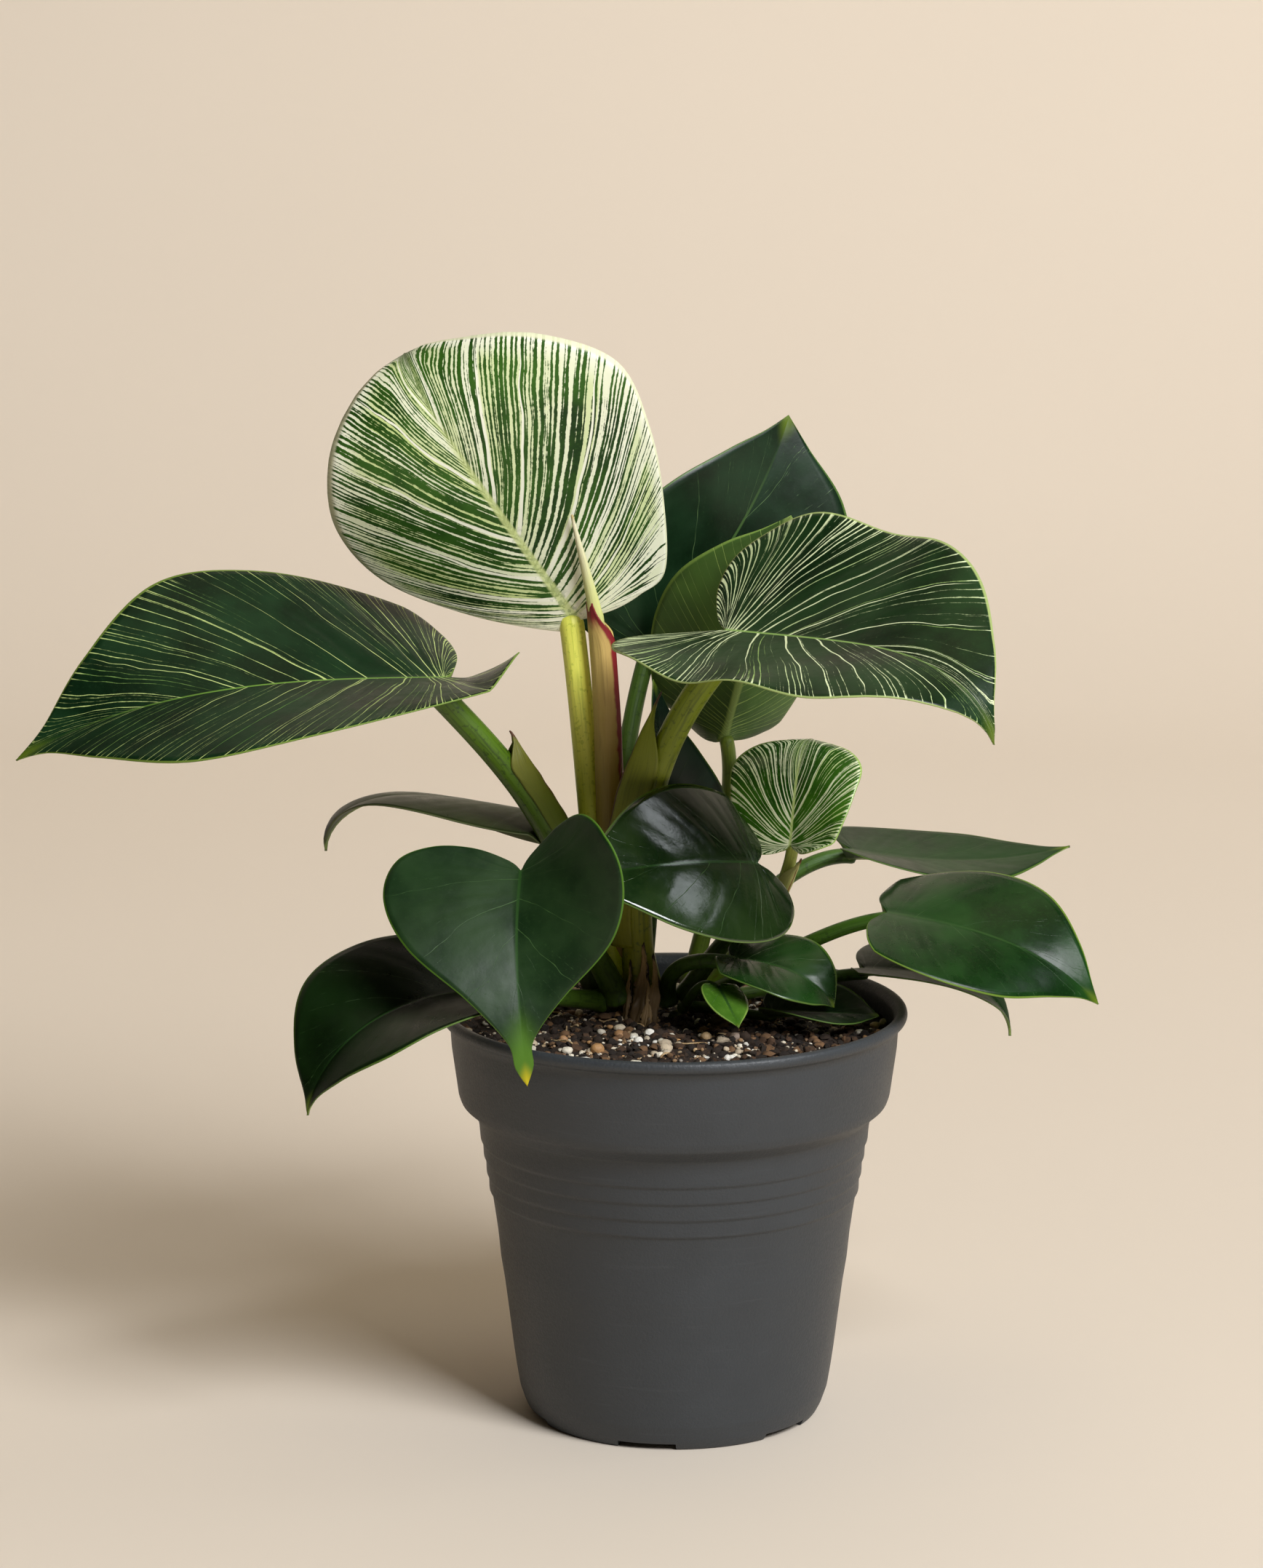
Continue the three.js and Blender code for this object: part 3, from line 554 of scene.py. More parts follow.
def blade_piece(leaf, upper, under):
    form = Blade(leaf)
    piece = net("leaf_" + leaf["name"], leaf["rows"], 2 * leaf["columns"])
    tops, bottoms, inward, outward = [], [], [], []
    for vertex in piece.data.vertices:
        u, v = (vertex.co.x + 1) / 2, (vertex.co.y + 1) / 2
        middle, normal, x, y, side, reach = blade_surface(form, u, v)
        relief = vein_relief(leaf, u, reach, side, y)
        trough = midrib_trough(leaf, u, x, y)
        wall = mix(leaf["thickness"], MARGIN_THICKNESS, reach**3) / 2
        tops.append((middle + normal * (wall + relief * 0.8 + trough)) * MM)
        below = wall + midrib_keel(leaf, u, x, y) - relief * 0.6 - trough
        bottoms.append((middle - normal * below) * MM)
        inward.append(y)
        to_tip = (form.margins[side][-1] - Vector((x, y))).length
        outward.append(to_tip if u > TIP_FROM else (1 - reach) * 0.9 * sided(leaf["half"], side))
        vertex.co = tops[-1]
    for name, values in (("from_midrib", inward), ("from_margin", outward)):
        piece.data.attributes.new(name, "FLOAT", "POINT").data.foreach_set("value", values)
    piece.data.materials.append(upper)
    piece.data.materials.append(under)
    thicken(piece, leaf["thickness"], offset=-1, material_offset=1, material_offset_rim=1)
    for vertex, place in zip(piece.data.vertices, tops + bottoms):
        vertex.co = (place.x, place.y, min(place.z, CAD_BOX[1][2]))
    return dressed(weld(piece), leaf_slot(leaf), "blade_" + leaf["name"])


def leaf_slot(leaf):
    if leaf["name"] in ("top_striped", "young_striped"):
        return "leaf_striped"
    return "leaf_mid" if leaf["name"] in ("back_turned", "rim_bud") else "leaf_dark"


# ---------------------------------------------------------------- stalks and sheaths

def through(points, t):
    """The cubic through four points at even shares of the way, as in the CAD."""
    a, b, c, d = (Vector(p) for p in points)
    return (
        a * ((1 - 3 * t) * (2 - 3 * t) * (1 - t) / 2)
        + b * (9 * t * (2 - 3 * t) * (1 - t) / 2)
        + c * (9 * t * (3 * t - 1) * (1 - t) / 2)
        + d * (t * (3 * t - 1) * (3 * t - 2) / 2)
    )


def radius_at(radii, t):
    if len(radii) == 2:
        return radii[1] + (radii[0] - radii[1]) * (1 - t) ** 2
    place = t * (len(radii) - 1)
    i = min(int(place), len(radii) - 2)
    return mix(radii[i], radii[i + 1], place - i)


def route_frame(route, t):
    """A route's direction, and the ways across it: to the left and to the front of a rising one."""
    tangent = (through(route, t + 0.01) - through(route, t - 0.01)).normalized()
    across = tangent.cross(Vector((0, 1, 0))).normalized()
    return tangent, across, tangent.cross(across)


def round_end(t, length, radius):
    """1 along a tube, falling to 0 in a dome at both of its ends."""
    near = min(t, 1 - t) * length / radius
    return 1 if near >= 1 else math.sqrt(max(0, 1 - (1 - near) ** 2))


HUSK_THICKNESS = 0.4


def tube(name, route, radii, section=None, along=40, around=20):
    """A tube along a route. section(t, angle) scales its radius."""
    length = sum((through(route, (i + 1) / 20) - through(route, i / 20)).length for i in range(20))

    def rule(u, v):
        _, across, front = route_frame(route, u)
        radius = radius_at(radii, u)
        radius *= round_end(u, length, radius)
        angle = 2 * math.pi * v
        if section:
            radius *= section(u, angle)
        return through(route, u) + across * radius * math.cos(angle) + front * radius * math.sin(angle)

    return weld(shaped_net(name, along, around, rule), 2 * WELD)


def wrap(name, route, radii, starts, stops, depth=1.0, rise=0.5, ragged=0.0, along=60, around=36):
    """A thin strip bent round a route. starts and stops are the angles of its two edges, at its foot and at
    its tip; 0 is the left of the route and 90 its front. They change from rise on, as a share of the way."""
    def rule(u, v):
        tangent, across, front = route_frame(route, u)
        closing = smooth(u, rise, 1)
        tear = ragged * noise.noise(Vector((u * 30, v * 3, len(name)))) * abs(2 * v - 1) ** 3
        angle = math.radians(mix(mix(*starts, closing), mix(*stops, closing), clamp(v + tear, 0, 1)))
        curl = 1 + 0.05 * v + 0.06 * abs(2 * v - 1) ** 4
        crease = noise.noise(Vector((u * 6, v * 5, len(name) + 3)))
        ripple = 1 + 0.02 * math.sin(9 * angle) + (0.06 + ragged) * crease
        radius = radius_at(radii, u) * curl * ripple
        notch = ragged * 4 * noise.noise(Vector((v * 9, 2, len(name)))) * smooth(u, 0.9, 1)
        return (through(route, u) + tangent * notch
                + across * radius * math.cos(angle) + front * radius * depth * math.sin(angle))

    return thicken(shaped_net(name, along, around, rule), HUSK_THICKNESS, offset=0)


def level(route, height):
    """Where along a rising route it passes a height."""
    low, high = 0.0, 1.0
    for _ in range(20):
        middle = (low + high) / 2
        low, high = (middle, high) if through(route, middle).z < height else (low, middle)
    return low


def husk(name, leaf, route, radii, ragged):
    """A sheath that clasps a leaf's stalk: it folds out from the stalk's flanks as far as its own route."""
    stalk = [*leaf["petiole"], leaf["at"]]

    def rule(u, v):
        here = through(route, u)
        t = level(stalk, here.z)
        core = through(stalk, t)
        tangent = route_frame(stalk, t)[0]
        aside = here - core
        aside = (aside - tangent * aside.dot(tangent)).normalized()
        flank = tangent.cross(aside)
        fold = here + aside * radius_at(radii, u)
        hug = radius_at(leaf["radii"], t) + 0.25
        parting = smooth(u, 0.75, 1)
        ends = [(core + (flank * way * 0.9 + aside * 0.4) * hug).lerp(fold, parting) for way in (1, -1)]
        beyond = fold * 2 - (ends[0] + ends[1]) / 2
        point = ends[0] * (1 - v) ** 2 + beyond * 2 * v * (1 - v) + ends[1] * v**2
        crinkle = noise.noise(Vector((u * 9, v * 4, len(name)))) * 0.35
        notch = ragged * noise.noise(Vector((v * 9, 2, len(name)))) * smooth(u, 0.85, 1)
        return point + aside * crinkle * smooth(u, 0, 0.3) + tangent * notch

    return thicken(shaped_net(name, 60, 36, rule), HUSK_THICKNESS, offset=0)


# ---------------------------------------------------------------- finishes of the plant

# deep and pale: greens of the blade. spacing: mm between the finest stripes. line: half width of a stripe
# in mm; uneven and dashed: how much that differs from stripe to stripe and along one. thick: what is added
# near (the stalk, the margin, the midrib, the tip), and border: how far in the margin's share reaches.
# lean: how far the stripes run on towards the tip as they leave the midrib. bold: half width of the main
# veins, a few on each half. rim: the margin's own line; rib: the line of the midrib. gloss: roughness;
# sheen: strength of the reflections. ripe: how far the end of the blade takes on the rim's colour.
PLAIN_LOOK = dict(
    deep=(8, 27, 8), pale=(20, 50, 17), vein=(62, 92, 48), fine=(36, 66, 28), spacing=3.2, line=-0.12,
    uneven=0.24, dashed=0.4, thick=(0, 0.02, 0, 0), border=2.0, lean=0.2, ribs=6, bold=0.05,
    rim=(84, 112, 42), rim_width=0.45, rib=(40, 72, 30), rib_line=0.9, gloss=0.32, sheen=0.32,
    speckle=0, tip=(96, 118, 30), ripe=0)
LOOKS = {
    "top_striped": dict(
        deep=(16, 50, 8), pale=(54, 98, 24), vein=(246, 246, 224), fine=(204, 220, 146), spacing=2.5,
        line=0.34, uneven=0.66, dashed=1.1, thick=(0.75, 0.24, 0.2, -0.18), border=8.0, lean=0.2,
        ribs=9, bold=0.8, rim=(226, 228, 190), rim_width=1.0, rib=(208, 220, 146), rib_line=2.2,
        gloss=0.45, sheen=0.3, speckle=0.6, tip=(60, 90, 30)),
    "young_striped": dict(
        deep=(20, 62, 8), pale=(64, 116, 26), vein=(238, 244, 206), fine=(190, 214, 130), spacing=1.8,
        line=0.1, uneven=0.4, dashed=0.4, thick=(0.26, 0.1, 0.06, 0), border=2.0, lean=0.6, ribs=7,
        bold=0.4, rim=(170, 202, 104), rim_width=0.4, rib=(206, 226, 140), rib_line=0.9, gloss=0.22,
        sheen=0.5, speckle=0.2),
    "left_long": dict(
        deep=(8, 28, 12), pale=(22, 50, 26), vein=(190, 206, 130), fine=(84, 122, 56), spacing=3.2,
        line=-0.05, uneven=0.44, dashed=0.34, thick=(0.16, 0.06, 0, 0), border=4.0, lean=0.1, ribs=9,
        bold=0.2, rim=(120, 146, 60), rim_width=0.5, rib=(110, 150, 60), rib_line=0.8, gloss=0.34,
        sheen=0.12),
    "right_wavy": dict(
        deep=(9, 30, 10), pale=(26, 56, 24), vein=(222, 232, 186), fine=(130, 162, 84), spacing=2.9,
        line=-0.02, uneven=0.56, dashed=0.44, thick=(0.36, 0.06, 0, -0.04), border=4.0, lean=0.24,
        ribs=10, bold=0.36, rim=(170, 188, 116), rim_width=0.6, rib=(140, 176, 92), rib_line=0.9,
        gloss=0.36, sheen=0.2),
    "back_upright": dict(
        deep=(9, 30, 12), pale=(24, 52, 28), vein=(92, 122, 74), fine=(52, 82, 42), spacing=3.0,
        ribs=6, bold=0.1, rim=(84, 114, 54), rib=(76, 108, 54), rib_line=1.0, gloss=0.42, sheen=0.3),
    "back_turned": dict(
        deep=(22, 58, 8), pale=(58, 106, 24), vein=(170, 196, 100), fine=(104, 144, 56), spacing=2.8,
        line=0.0, uneven=0.3, thick=(0.1, 0.05, 0, 0), ribs=8, bold=0.2, rim=(140, 172, 80),
        rib=(150, 182, 92), rib_line=1.0, gloss=0.4, sheen=0.3),
    # front_glossy's pale green is lifted and greyed: partly its own colour, partly a painted grey sheen of its
    # gloss
    "front_glossy": dict(deep=(10, 32, 8), pale=(34, 54, 22), gloss=0.16, sheen=0.7),
    "front_heart": dict(
        deep=(16, 38, 16), pale=(36, 60, 30), gloss=0.42, sheen=0.25, rim=(76, 116, 28),
        tip=(196, 176, 24), ripe=0.85),
    # front_drooping's greens are darker than the plain ones: painted shade, for the shadow that falls on this
    # low leaf
    "front_drooping": dict(deep=(5, 16, 3), pale=(14, 34, 8), sheen=0.25),
    "left_low": dict(deep=(34, 42, 20), pale=(50, 58, 30), rim=(90, 96, 60), sheen=0.04),
    "right_flat": dict(deep=(12, 36, 12), pale=(30, 60, 26), gloss=0.36, sheen=0.08),
    "right_round": dict(deep=(10, 38, 8), pale=(26, 64, 20), rim=(110, 140, 50), gloss=0.3, sheen=0.2),
    "right_low": dict(deep=(12, 36, 12), pale=(28, 58, 24), sheen=0.08),
    "rim_round": dict(deep=(10, 34, 6), pale=(26, 62, 18), gloss=0.28, sheen=0.4),
    "rim_bud": dict(deep=(52, 92, 20), pale=(96, 136, 48), gloss=0.25, rim=(130, 160, 70)),
    "back_hidden": dict(deep=(12, 34, 24), pale=(28, 54, 40)),
}


def leaf_finishes(leaf):
    look = {**PLAIN_LOOK, **LOOKS.get(leaf["name"], {})}
    return leaf_face(leaf, look), leaf_back(leaf, look)


def blade_axes(finish):
    """run 0 to 1 from stalk to tip, reach 0 to 1 from midrib to margin, which half, and mm from both."""
    run, across = finish.net_axes()
    distances = (finish.attribute(name) for name in ("from_midrib", "from_margin"))
    return run, abs(across * 2 - 1), across > 0.5, *distances


def vein_spread(leaf, run, reach):
    """How many mm the side veins spread over as run goes on by 1: wide at the margin, tight at the stalk."""
    fan = run * run * VEIN_BUNCHING * (1 - reach) + reach * MARGIN_SHARE
    return fan * leaf["length"] + 1.0


def stripe_set(finish, run, spread, count, halves, reach, thickness, look):
    """1 on stripes that run like the side veins, count of them from stalk to tip, each of its own width."""
    place = run * count + 0.5
    number = place.floor()
    spot = finish.vector(number, halves, 0)
    own = finish.node("ShaderNodeTexWhiteNoise", {"noise_dimensions": "2D"}, Vector=spot)
    dashes = finish.cloud(1.0, 2.0, 0.6, finish.vector(number * 3.7, reach * 9, halves)) - 0.5
    centre = 0.5 + ((own * 7.3).fraction() - 0.5) * 0.3
    off_centre = abs(place.fraction() - centre) * spread / count
    width = thickness + (own - 0.5) * look["uneven"] + dashes * look["dashed"]
    return finish.step(width - off_centre, -0.08, 0.1), own


def leaf_face(leaf, look):
    finish = Finish("face_of_" + leaf["name"])
    run, reach, half, inward, outward = blade_axes(finish)
    halves = half * 13 + 3.7 * (1 + LEAVES.index(leaf))

    # how wide the stripes are, and what widens them
    near_stalk, near_margin, near_midrib, near_tip = (
        1 - finish.step(far, low, high)
        for far, low, high in (
            (run, 0.0, 0.55), (outward, 0.3, look["border"]), (inward, 0.5, 9.0), (1 - run, 0.0, 0.45)))
    ragged = finish.cloud(1100.0, 3.0, 0.65) - 0.5
    thickness = look["line"] + ragged * 0.8 * look["dashed"]
    for near, more in zip((near_stalk, near_margin, near_midrib, near_tip), look["thick"]):
        thickness = thickness + near * more

    # three sets of stripes, each with twice as many as the last: the finer ones open where there is room
    spread = vein_spread(leaf, run, reach)
    wander = finish.cloud(1.0, place=finish.vector(run * 6, reach * 2.2, halves)) - 0.5
    along = run - look["lean"] * reach * (1 - 0.6 * reach)
    drawn = along + wander * (4 / spread).lowest(0.03)
    coarse = max(8, round(0.3 * MARGIN_SHARE * leaf["length"] / look["spacing"]))
    stripes, own = stripe_set(finish, drawn, spread, coarse, halves, reach, thickness, look)
    for rank in (1, 2):
        count = coarse * 2**rank
        opening = finish.step(spread / count, look["spacing"] * 0.45, look["spacing"] * 0.8)
        room = thickness * opening - (1 - opening) * 0.5
        finer, _ = stripe_set(finish, drawn, spread, count, halves + rank, reach, room, look)
        stripes = stripes.highest(finer)

    # the main veins
    bold, _ = stripe_set(
        finish, along + wander * (7 / spread).lowest(0.05), spread, look["ribs"], halves + 8, reach,
        (1.15 - reach) * look["bold"] * finish.step(run, 0.05, 0.25), {**look, "uneven": 0.1, "dashed": 0.3})
    bold = bold * (1 - finish.step(reach, 0.86, 1.0))

    # the green between, then the midrib, the margin and the tip over it all
    flecks = finish.cloud(900.0, 2.0)
    patches = finish.cloud(55.0, 3.0, 0.55)
    dust = finish.cloud(260.0, 3.0, 0.6)
    rib_width = look["rib_line"] * (1 - 0.6 * run)
    midrib = (1 - finish.step(inward, rib_width * 0.4, rib_width)) * (1 - finish.step(run, 0.75, 1.0))
    margin = 1 - finish.step(outward, look["rim_width"] * 0.5, look["rim_width"])
    specks = finish.step(flecks, 0.5, 0.56) * (1 - finish.step(inward, 1.0, 3.5)) * (1 - run)
    body = finish.blend(finish.step(patches, 0.3, 0.7), look["deep"], look["pale"])
    body = finish.blend(finish.step(ragged, 0.02, 0.2) * 0.4, body, look["pale"])
    lightness = own.highest(near_margin.highest(near_stalk))
    tint = finish.blend(lightness, look["fine"], look["vein"])
    color = finish.blend(stripes, body, tint)
    for factor, key in (
            (bold, "vein"), (midrib * 0.85, "rib"), (margin * 0.9, "rim"),
            (finish.step(run, 0.84, 0.95) * look["ripe"], "rim"),
            (finish.step(run, 0.955, 1.0) * 0.9, "tip"), (specks * look["speckle"], "pale")):
        color = finish.blend(factor, color, look[key])

    marks = stripes.highest(bold)
    roughness = look["gloss"] + (dust - 0.5) * 0.2 + (patches - 0.5) * 0.25 + marks * 0.08
    height = marks * -0.25 + dust * 0.5 + patches * 0.4
    return finish.shader(
        BaseColor=color, Roughness=roughness, SpecularIORLevel=look["sheen"],
        Normal=finish.bump(height, 0.00022, 0.5))


UNDERSIDE_GREEN = (92, 112, 62)


def leaf_back(leaf, look):
    finish = Finish("back_of_" + leaf["name"])
    run, reach, half, inward, outward = blade_axes(finish)
    halves = half * 11 + 2.3 * LEAVES.index(leaf)
    spread = vein_spread(leaf, run, reach)
    count = round(MARGIN_SHARE * leaf["length"] / (1.6 * look["spacing"]))
    width = max(look["line"], 0) * 0.7 + 0.05
    veins, _ = stripe_set(finish, run, spread, count, halves, reach, width, {**look, "dashed": 0.3})
    midrib = 1 - finish.step(inward, 0.9, 2.0)
    margin = 1 - finish.step(outward, 0.3, 0.8)
    deep, pale = (
        [mix(a, b, 0.5) for a, b in zip(look[key], UNDERSIDE_GREEN)] for key in ("deep", "pale"))
    patches = finish.cloud(60.0, 3.0)
    color = finish.blend(finish.step(patches, 0.3, 0.7), deep, pale)
    color = finish.blend(veins * 0.5, color, look["vein"])
    color = finish.blend(midrib * 0.8, color, (140, 162, 86))
    color = finish.blend(margin * 0.8, color, look["rim"])
    dust = finish.cloud(400.0, 3.0, 0.6)
    return finish.shader(
        BaseColor=color, Roughness=0.5 + dust * 0.15, SpecularIORLevel=0.35,
        Normal=finish.bump(veins * 0.5 + dust * 0.4, 0.00025, 0.5))


def stalk_finish(name, low, high, streak, amount):
    """A stalk that changes from low at its foot to high at its blade, with long dark streaks and flecks."""
    finish = Finish(name)
    run, around = finish.net_axes()
    streaks = finish.cloud(1.0, 3.0, 0.6, finish.vector(run * 7, around * 26, 1.0))
    flecks = finish.cloud(700.0, 2.0, 0.6)
    color = finish.blend(finish.step(run, 0.1, 0.9), low, high)
    color = finish.blend(finish.step(streaks, 0.48, 0.66) * amount, color, streak)
    color = finish.blend(finish.step(flecks, 0.58, 0.66) * amount, color, streak)
    relief = finish.bump(streaks + flecks * 0.5, 0.0003, 0.5)
    return finish.shader(BaseColor=color, Roughness=0.38 + flecks * 0.12, Normal=relief)


# colours at the foot, at the blade and of the streaks, and how strong the streaks are
STALKS = {
    "top_striped": ((190, 204, 14), (238, 240, 104), (142, 164, 10), 0.35),
    "left_long": ((50, 70, 6), (76, 108, 8), (30, 50, 6), 0.6),
    "right_wavy": ((134, 138, 14), (132, 150, 22), (76, 90, 14), 0.6),
    "back_upright": ((76, 106, 34), (84, 118, 44), (46, 72, 24), 0.5),
    "back_turned": ((104, 126, 36), (118, 140, 48), (70, 92, 28), 0.4),
    "young_striped": ((124, 152, 40), (190, 204, 96), (120, 90, 40), 0.4),
}
PLAIN_STALK = ((66, 92, 20), (62, 98, 24), (30, 50, 14), 0.5)


def sheath_finish(name, foot, tip, edge, edge_at=1.0, edge_width=0.1, edge_from=0.0):
    """A sheath: streaks along it, and a coloured line where v is edge_at, from edge_from up to its tip."""
    finish = Finish(name)
    run, around = finish.net_axes()
    streaks = finish.cloud(1.0, 3.0, 0.6, finish.vector(run * 5, around * 22, 3.0))
    flecks = finish.cloud(600.0, 2.0, 0.6)
    tear = finish.cloud(1.0, place=finish.vector(run * 30, around * 2, 5.0)) - 0.5
    off_edge = abs(around - edge_at) + tear * edge_width * 0.5
    line = 1 - finish.step(off_edge, edge_width * 0.7, edge_width)
    line = line * finish.step(run, edge_from, edge_from + 0.1)
    end = finish.step(run + tear * 0.05, 0.94, 0.98)
    flush = (1 - finish.step(off_edge, edge_width, edge_width * 3)) * 0.25
    color = finish.blend(finish.step(run + (streaks - 0.5) * 0.3, 0.3, 0.95), foot, tip)
    color = finish.blend(finish.step(streaks, 0.5, 0.7) * 0.35, color, [v * 0.7 for v in foot])
    color = finish.blend(flush, color, edge)
    color = finish.blend(line.highest(end), color, edge)
    relief = finish.bump(streaks + flecks * 0.4, 0.0003, 0.5)
    return finish.shader(BaseColor=color, Roughness=0.42 + flecks * 0.2, Normal=relief)


def wood_finish(name, low, high, scale):
    finish = Finish(name)
    mottle = finish.cloud(scale, 4.0, 0.65)
    color = finish.blend(finish.step(mottle, 0.35, 0.65), low, high)
    return finish.shader(BaseColor=color, Roughness=0.75, Normal=finish.bump(mottle, 0.0008, 0.8))


# ---------------------------------------------------------------- the pot

def turn_up(profile, sides, name):
    """A turned solid: a disc, extruded and scaled from each point of the profile to the next."""
    (radius, height), *rest = profile
    clear_selection()
    bpy.ops.mesh.primitive_circle_add(
        vertices=sides, radius=radius * MM, fill_type="NGON", location=(0, 0, height * MM))
    piece = bpy.context.object
    bpy.ops.object.transform_apply(location=True)
    bpy.ops.object.mode_set(mode="EDIT")
    bpy.ops.mesh.select_all(action="SELECT")
    for next_radius, next_height in rest:
        rise = (0, 0, (next_height - height) * MM)
        bpy.ops.mesh.extrude_region_move(TRANSFORM_OT_translate={"value": rise})
        scale = next_radius / radius
        bpy.ops.transform.resize(value=(scale, scale, 1), center_override=(0, 0, next_height * MM))
        radius, height = next_radius, next_height
    bpy.ops.object.mode_set(mode="OBJECT")
    return weld(named(piece, name), WELD / 2)


def rounded(profile, radius, steps=3):
    """The same profile with each of its corners eased by an arc of about that radius."""
    points = [Vector(p) for p in profile]
    eased = [points[0]]
    for before, corner, after in zip(points, points[1:], points[2:]):
        back, on = before - corner, after - corner
        reach = min(radius, back.length * 0.45, on.length * 0.45)
        first, last = corner + back.normalized() * reach, corner + on.normalized() * reach
        for k in range(steps + 1):
            t = k / steps
            eased.append(first * (1 - t) ** 2 + corner * 2 * t * (1 - t) + last * t * t)
    eased.append(points[-1])
    return [tuple(p) for p in eased]


POT_SIDES = 144
POT_CORNER = 0.55
# (radius, height): up the outside from under the foot, over the lip and down the inside to the floor
POT_PROFILE = [
    (7, 0), (7.2, 2), (33.6, 2), (34, 0), (37.4, 0), (38.7, 2.4), (40.1, 6.5), (41, 12), (41.7, 17),
    (42.8, 26), (43.9, 34.7), (44.9, 41), (45.6, 48), (46.3, 53), (47.1, 58.2), (47.8, 58.9),
    (47.9, 62.7), (48.5, 63.4), (48.6, 67.2), (49.2, 67.9), (49.4, 71.7), (50, 72.4), (50.3, 76),
    (50.8, 79), (52.6, 80.6), (54.9, 82.6), (55.6, 84.6), (57.3, 97), (57.6, 101.8), (58.1, 103.4),
    (59.6, 104.2), (60, 105.2), (59.7, 106.5), (58.7, 107), (57.4, 106.7), (56.4, 104.5), (56.2, 101),
    (54.1, 85), (49.1, 79.4), (45.7, 58), (39.5, 12), (38.2, 5), (36.8, 3.5),
]
DRAIN = dict(count=6, radius=3.5, circle=22, depth=5, height=3)
NOTCH = dict(count=6, circle=37, reach=12, width=15, height=1.7, start=-101)


def round_axis(count, circle, height=0, start=0):
    """The angles and places of equal steps round the pot's axis."""
    for i in range(count):
        angle = math.radians(start) + 2 * math.pi * i / count
        yield angle, Vector((math.cos(angle), math.sin(angle), 0)) * circle + Vector((0, 0, height))


def pot_piece(finish):
    piece = turn_up(rounded(POT_PROFILE, POT_CORNER), POT_SIDES, "nursery_pot")
    clear_selection()
    cutters = []
    for _, place in round_axis(DRAIN["count"], DRAIN["circle"], DRAIN["height"]):
        bpy.ops.mesh.primitive_cylinder_add(
            vertices=32, radius=DRAIN["radius"] * MM, depth=DRAIN["depth"] * MM, location=place * MM)
        cutters.append(bpy.context.object)
    for angle, place in round_axis(NOTCH["count"], NOTCH["circle"], start=NOTCH["start"]):
        bpy.ops.mesh.primitive_cube_add(size=MM, location=place * MM, rotation=(0, 0, angle))
        bpy.ops.transform.resize(
            value=(NOTCH["reach"], NOTCH["width"], 2 * NOTCH["height"]), orient_type="LOCAL",
            center_override=place * MM)
        cutters.append(bpy.context.object)
    cutter = joined(cutters, "drain_cutter")
    bpy.ops.object.transform_apply(location=True, rotation=True, scale=True)
    cut = piece.modifiers.new("holes", "BOOLEAN")
    cut.object = cutter
    cut.solver = "EXACT"
    apply_modifiers(piece)
    bpy.data.objects.remove(cutter)
    paint(piece, finish)
    return dressed(piece, "pot", "pot", angle=32)


def pot_finish():
    finish = Finish("charcoal_pot_plastic")
    grain = finish.cloud(1500.0, 2.0, 0.6)
    mottle = finish.cloud(70.0, 3.0, 0.6)
    flattened = finish.node("ShaderNodeMapping", Vector=finish.place(), Scale=(60, 60, 900))
    scuffs = finish.cloud(1.0, place=flattened)
    color = finish.blend(mottle, (46, 50, 54), (56, 60, 64))
    color = finish.blend(finish.step(scuffs, 0.6, 0.8) * 0.25, color, (70, 74, 78))
    return finish.shader(
        BaseColor=color, Roughness=0.5 + (grain - 0.5) * 0.3 + (mottle - 0.5) * 0.2,
        Normal=finish.bump(grain + mottle * 0.3, 0.0002, 0.6))


# ---------------------------------------------------------------- the soil and what lies in it

# crown: how much higher the middle lies. bore: the pot's radius there. wall: (radius, height) down to
# the floor.
SOIL = dict(
    level=101, crown=1.2, edge=55.3, bore=56.2,
    wall=[(53.5, 85), (48.4, 79), (45, 58), (38.8, 12), (36.6, 4), (0, 4)])


def soil_height(x, y):
    distance = math.hypot(x, y) / SOIL["bore"]
    place = Vector((x, y, 0))
    sizes = ((0.12, 1.1), (0.33, 0.8), (0.8, 0.5))
    lumps = sum(noise.noise(place * scale) * height for scale, height in sizes)
    return SOIL["level"] + SOIL["crown"] * (1 - distance**2) + lumps


def soil_piece(finish):
    top_share = 0.86  # of the net; the rest is the wall
    knots = [(SOIL["edge"], SOIL["level"]), *SOIL["wall"]]

    def rule(u, v):
        angle = 2 * math.pi * v
        if u <= top_share:
            radius = SOIL["edge"] * (u / top_share)
            x, y = radius * math.cos(angle), radius * math.sin(angle)
            crumble = noise.noise(Vector((x, y, 7)) * 1.9) * 0.35
            return Vector((x, y, soil_height(x, y) + crumble))
        place = (u - top_share) / (1 - top_share) * (len(knots) - 1)
        i = min(int(place), len(knots) - 2)
        radius, height = (mix(a, b, place - i) for a, b in zip(knots[i], knots[i + 1]))
        return Vector((radius * math.cos(angle), radius * math.sin(angle), height))

    piece = weld(shaped_net("potting_soil", 100, 220, rule))
    paint(piece, finish)
    return dressed(piece, "soil", "soil")


def grain_shape(name, seed, rough, detail):
    """One loose grain, about 1 mm in radius: a ball knocked out of round."""
    clear_selection()
    bpy.ops.mesh.primitive_ico_sphere_add(subdivisions=detail, radius=1.0)
    piece = bpy.context.object
    piece.name = name
    for vertex in piece.data.vertices:
        broad = noise.noise(vertex.co * 0.9 + Vector((seed, 0, 0)))
        fine = noise.noise(vertex.co * 2.3 + Vector((0, seed, 0)))
        vertex.co *= 1 + rough * (broad + 0.5 * fine)
    return piece


def random_spot(chance, circle):
    angle, reach = chance.uniform(0, 2 * math.pi), circle * math.sqrt(chance.random())
    return reach * math.cos(angle), reach * math.sin(angle)


def kept_within(x, y, circle):
    """The same spot, or the nearest one inside the circle."""
    share = min(1, circle / max(math.hypot(x, y), 1e-6))
    return x * share, y * share


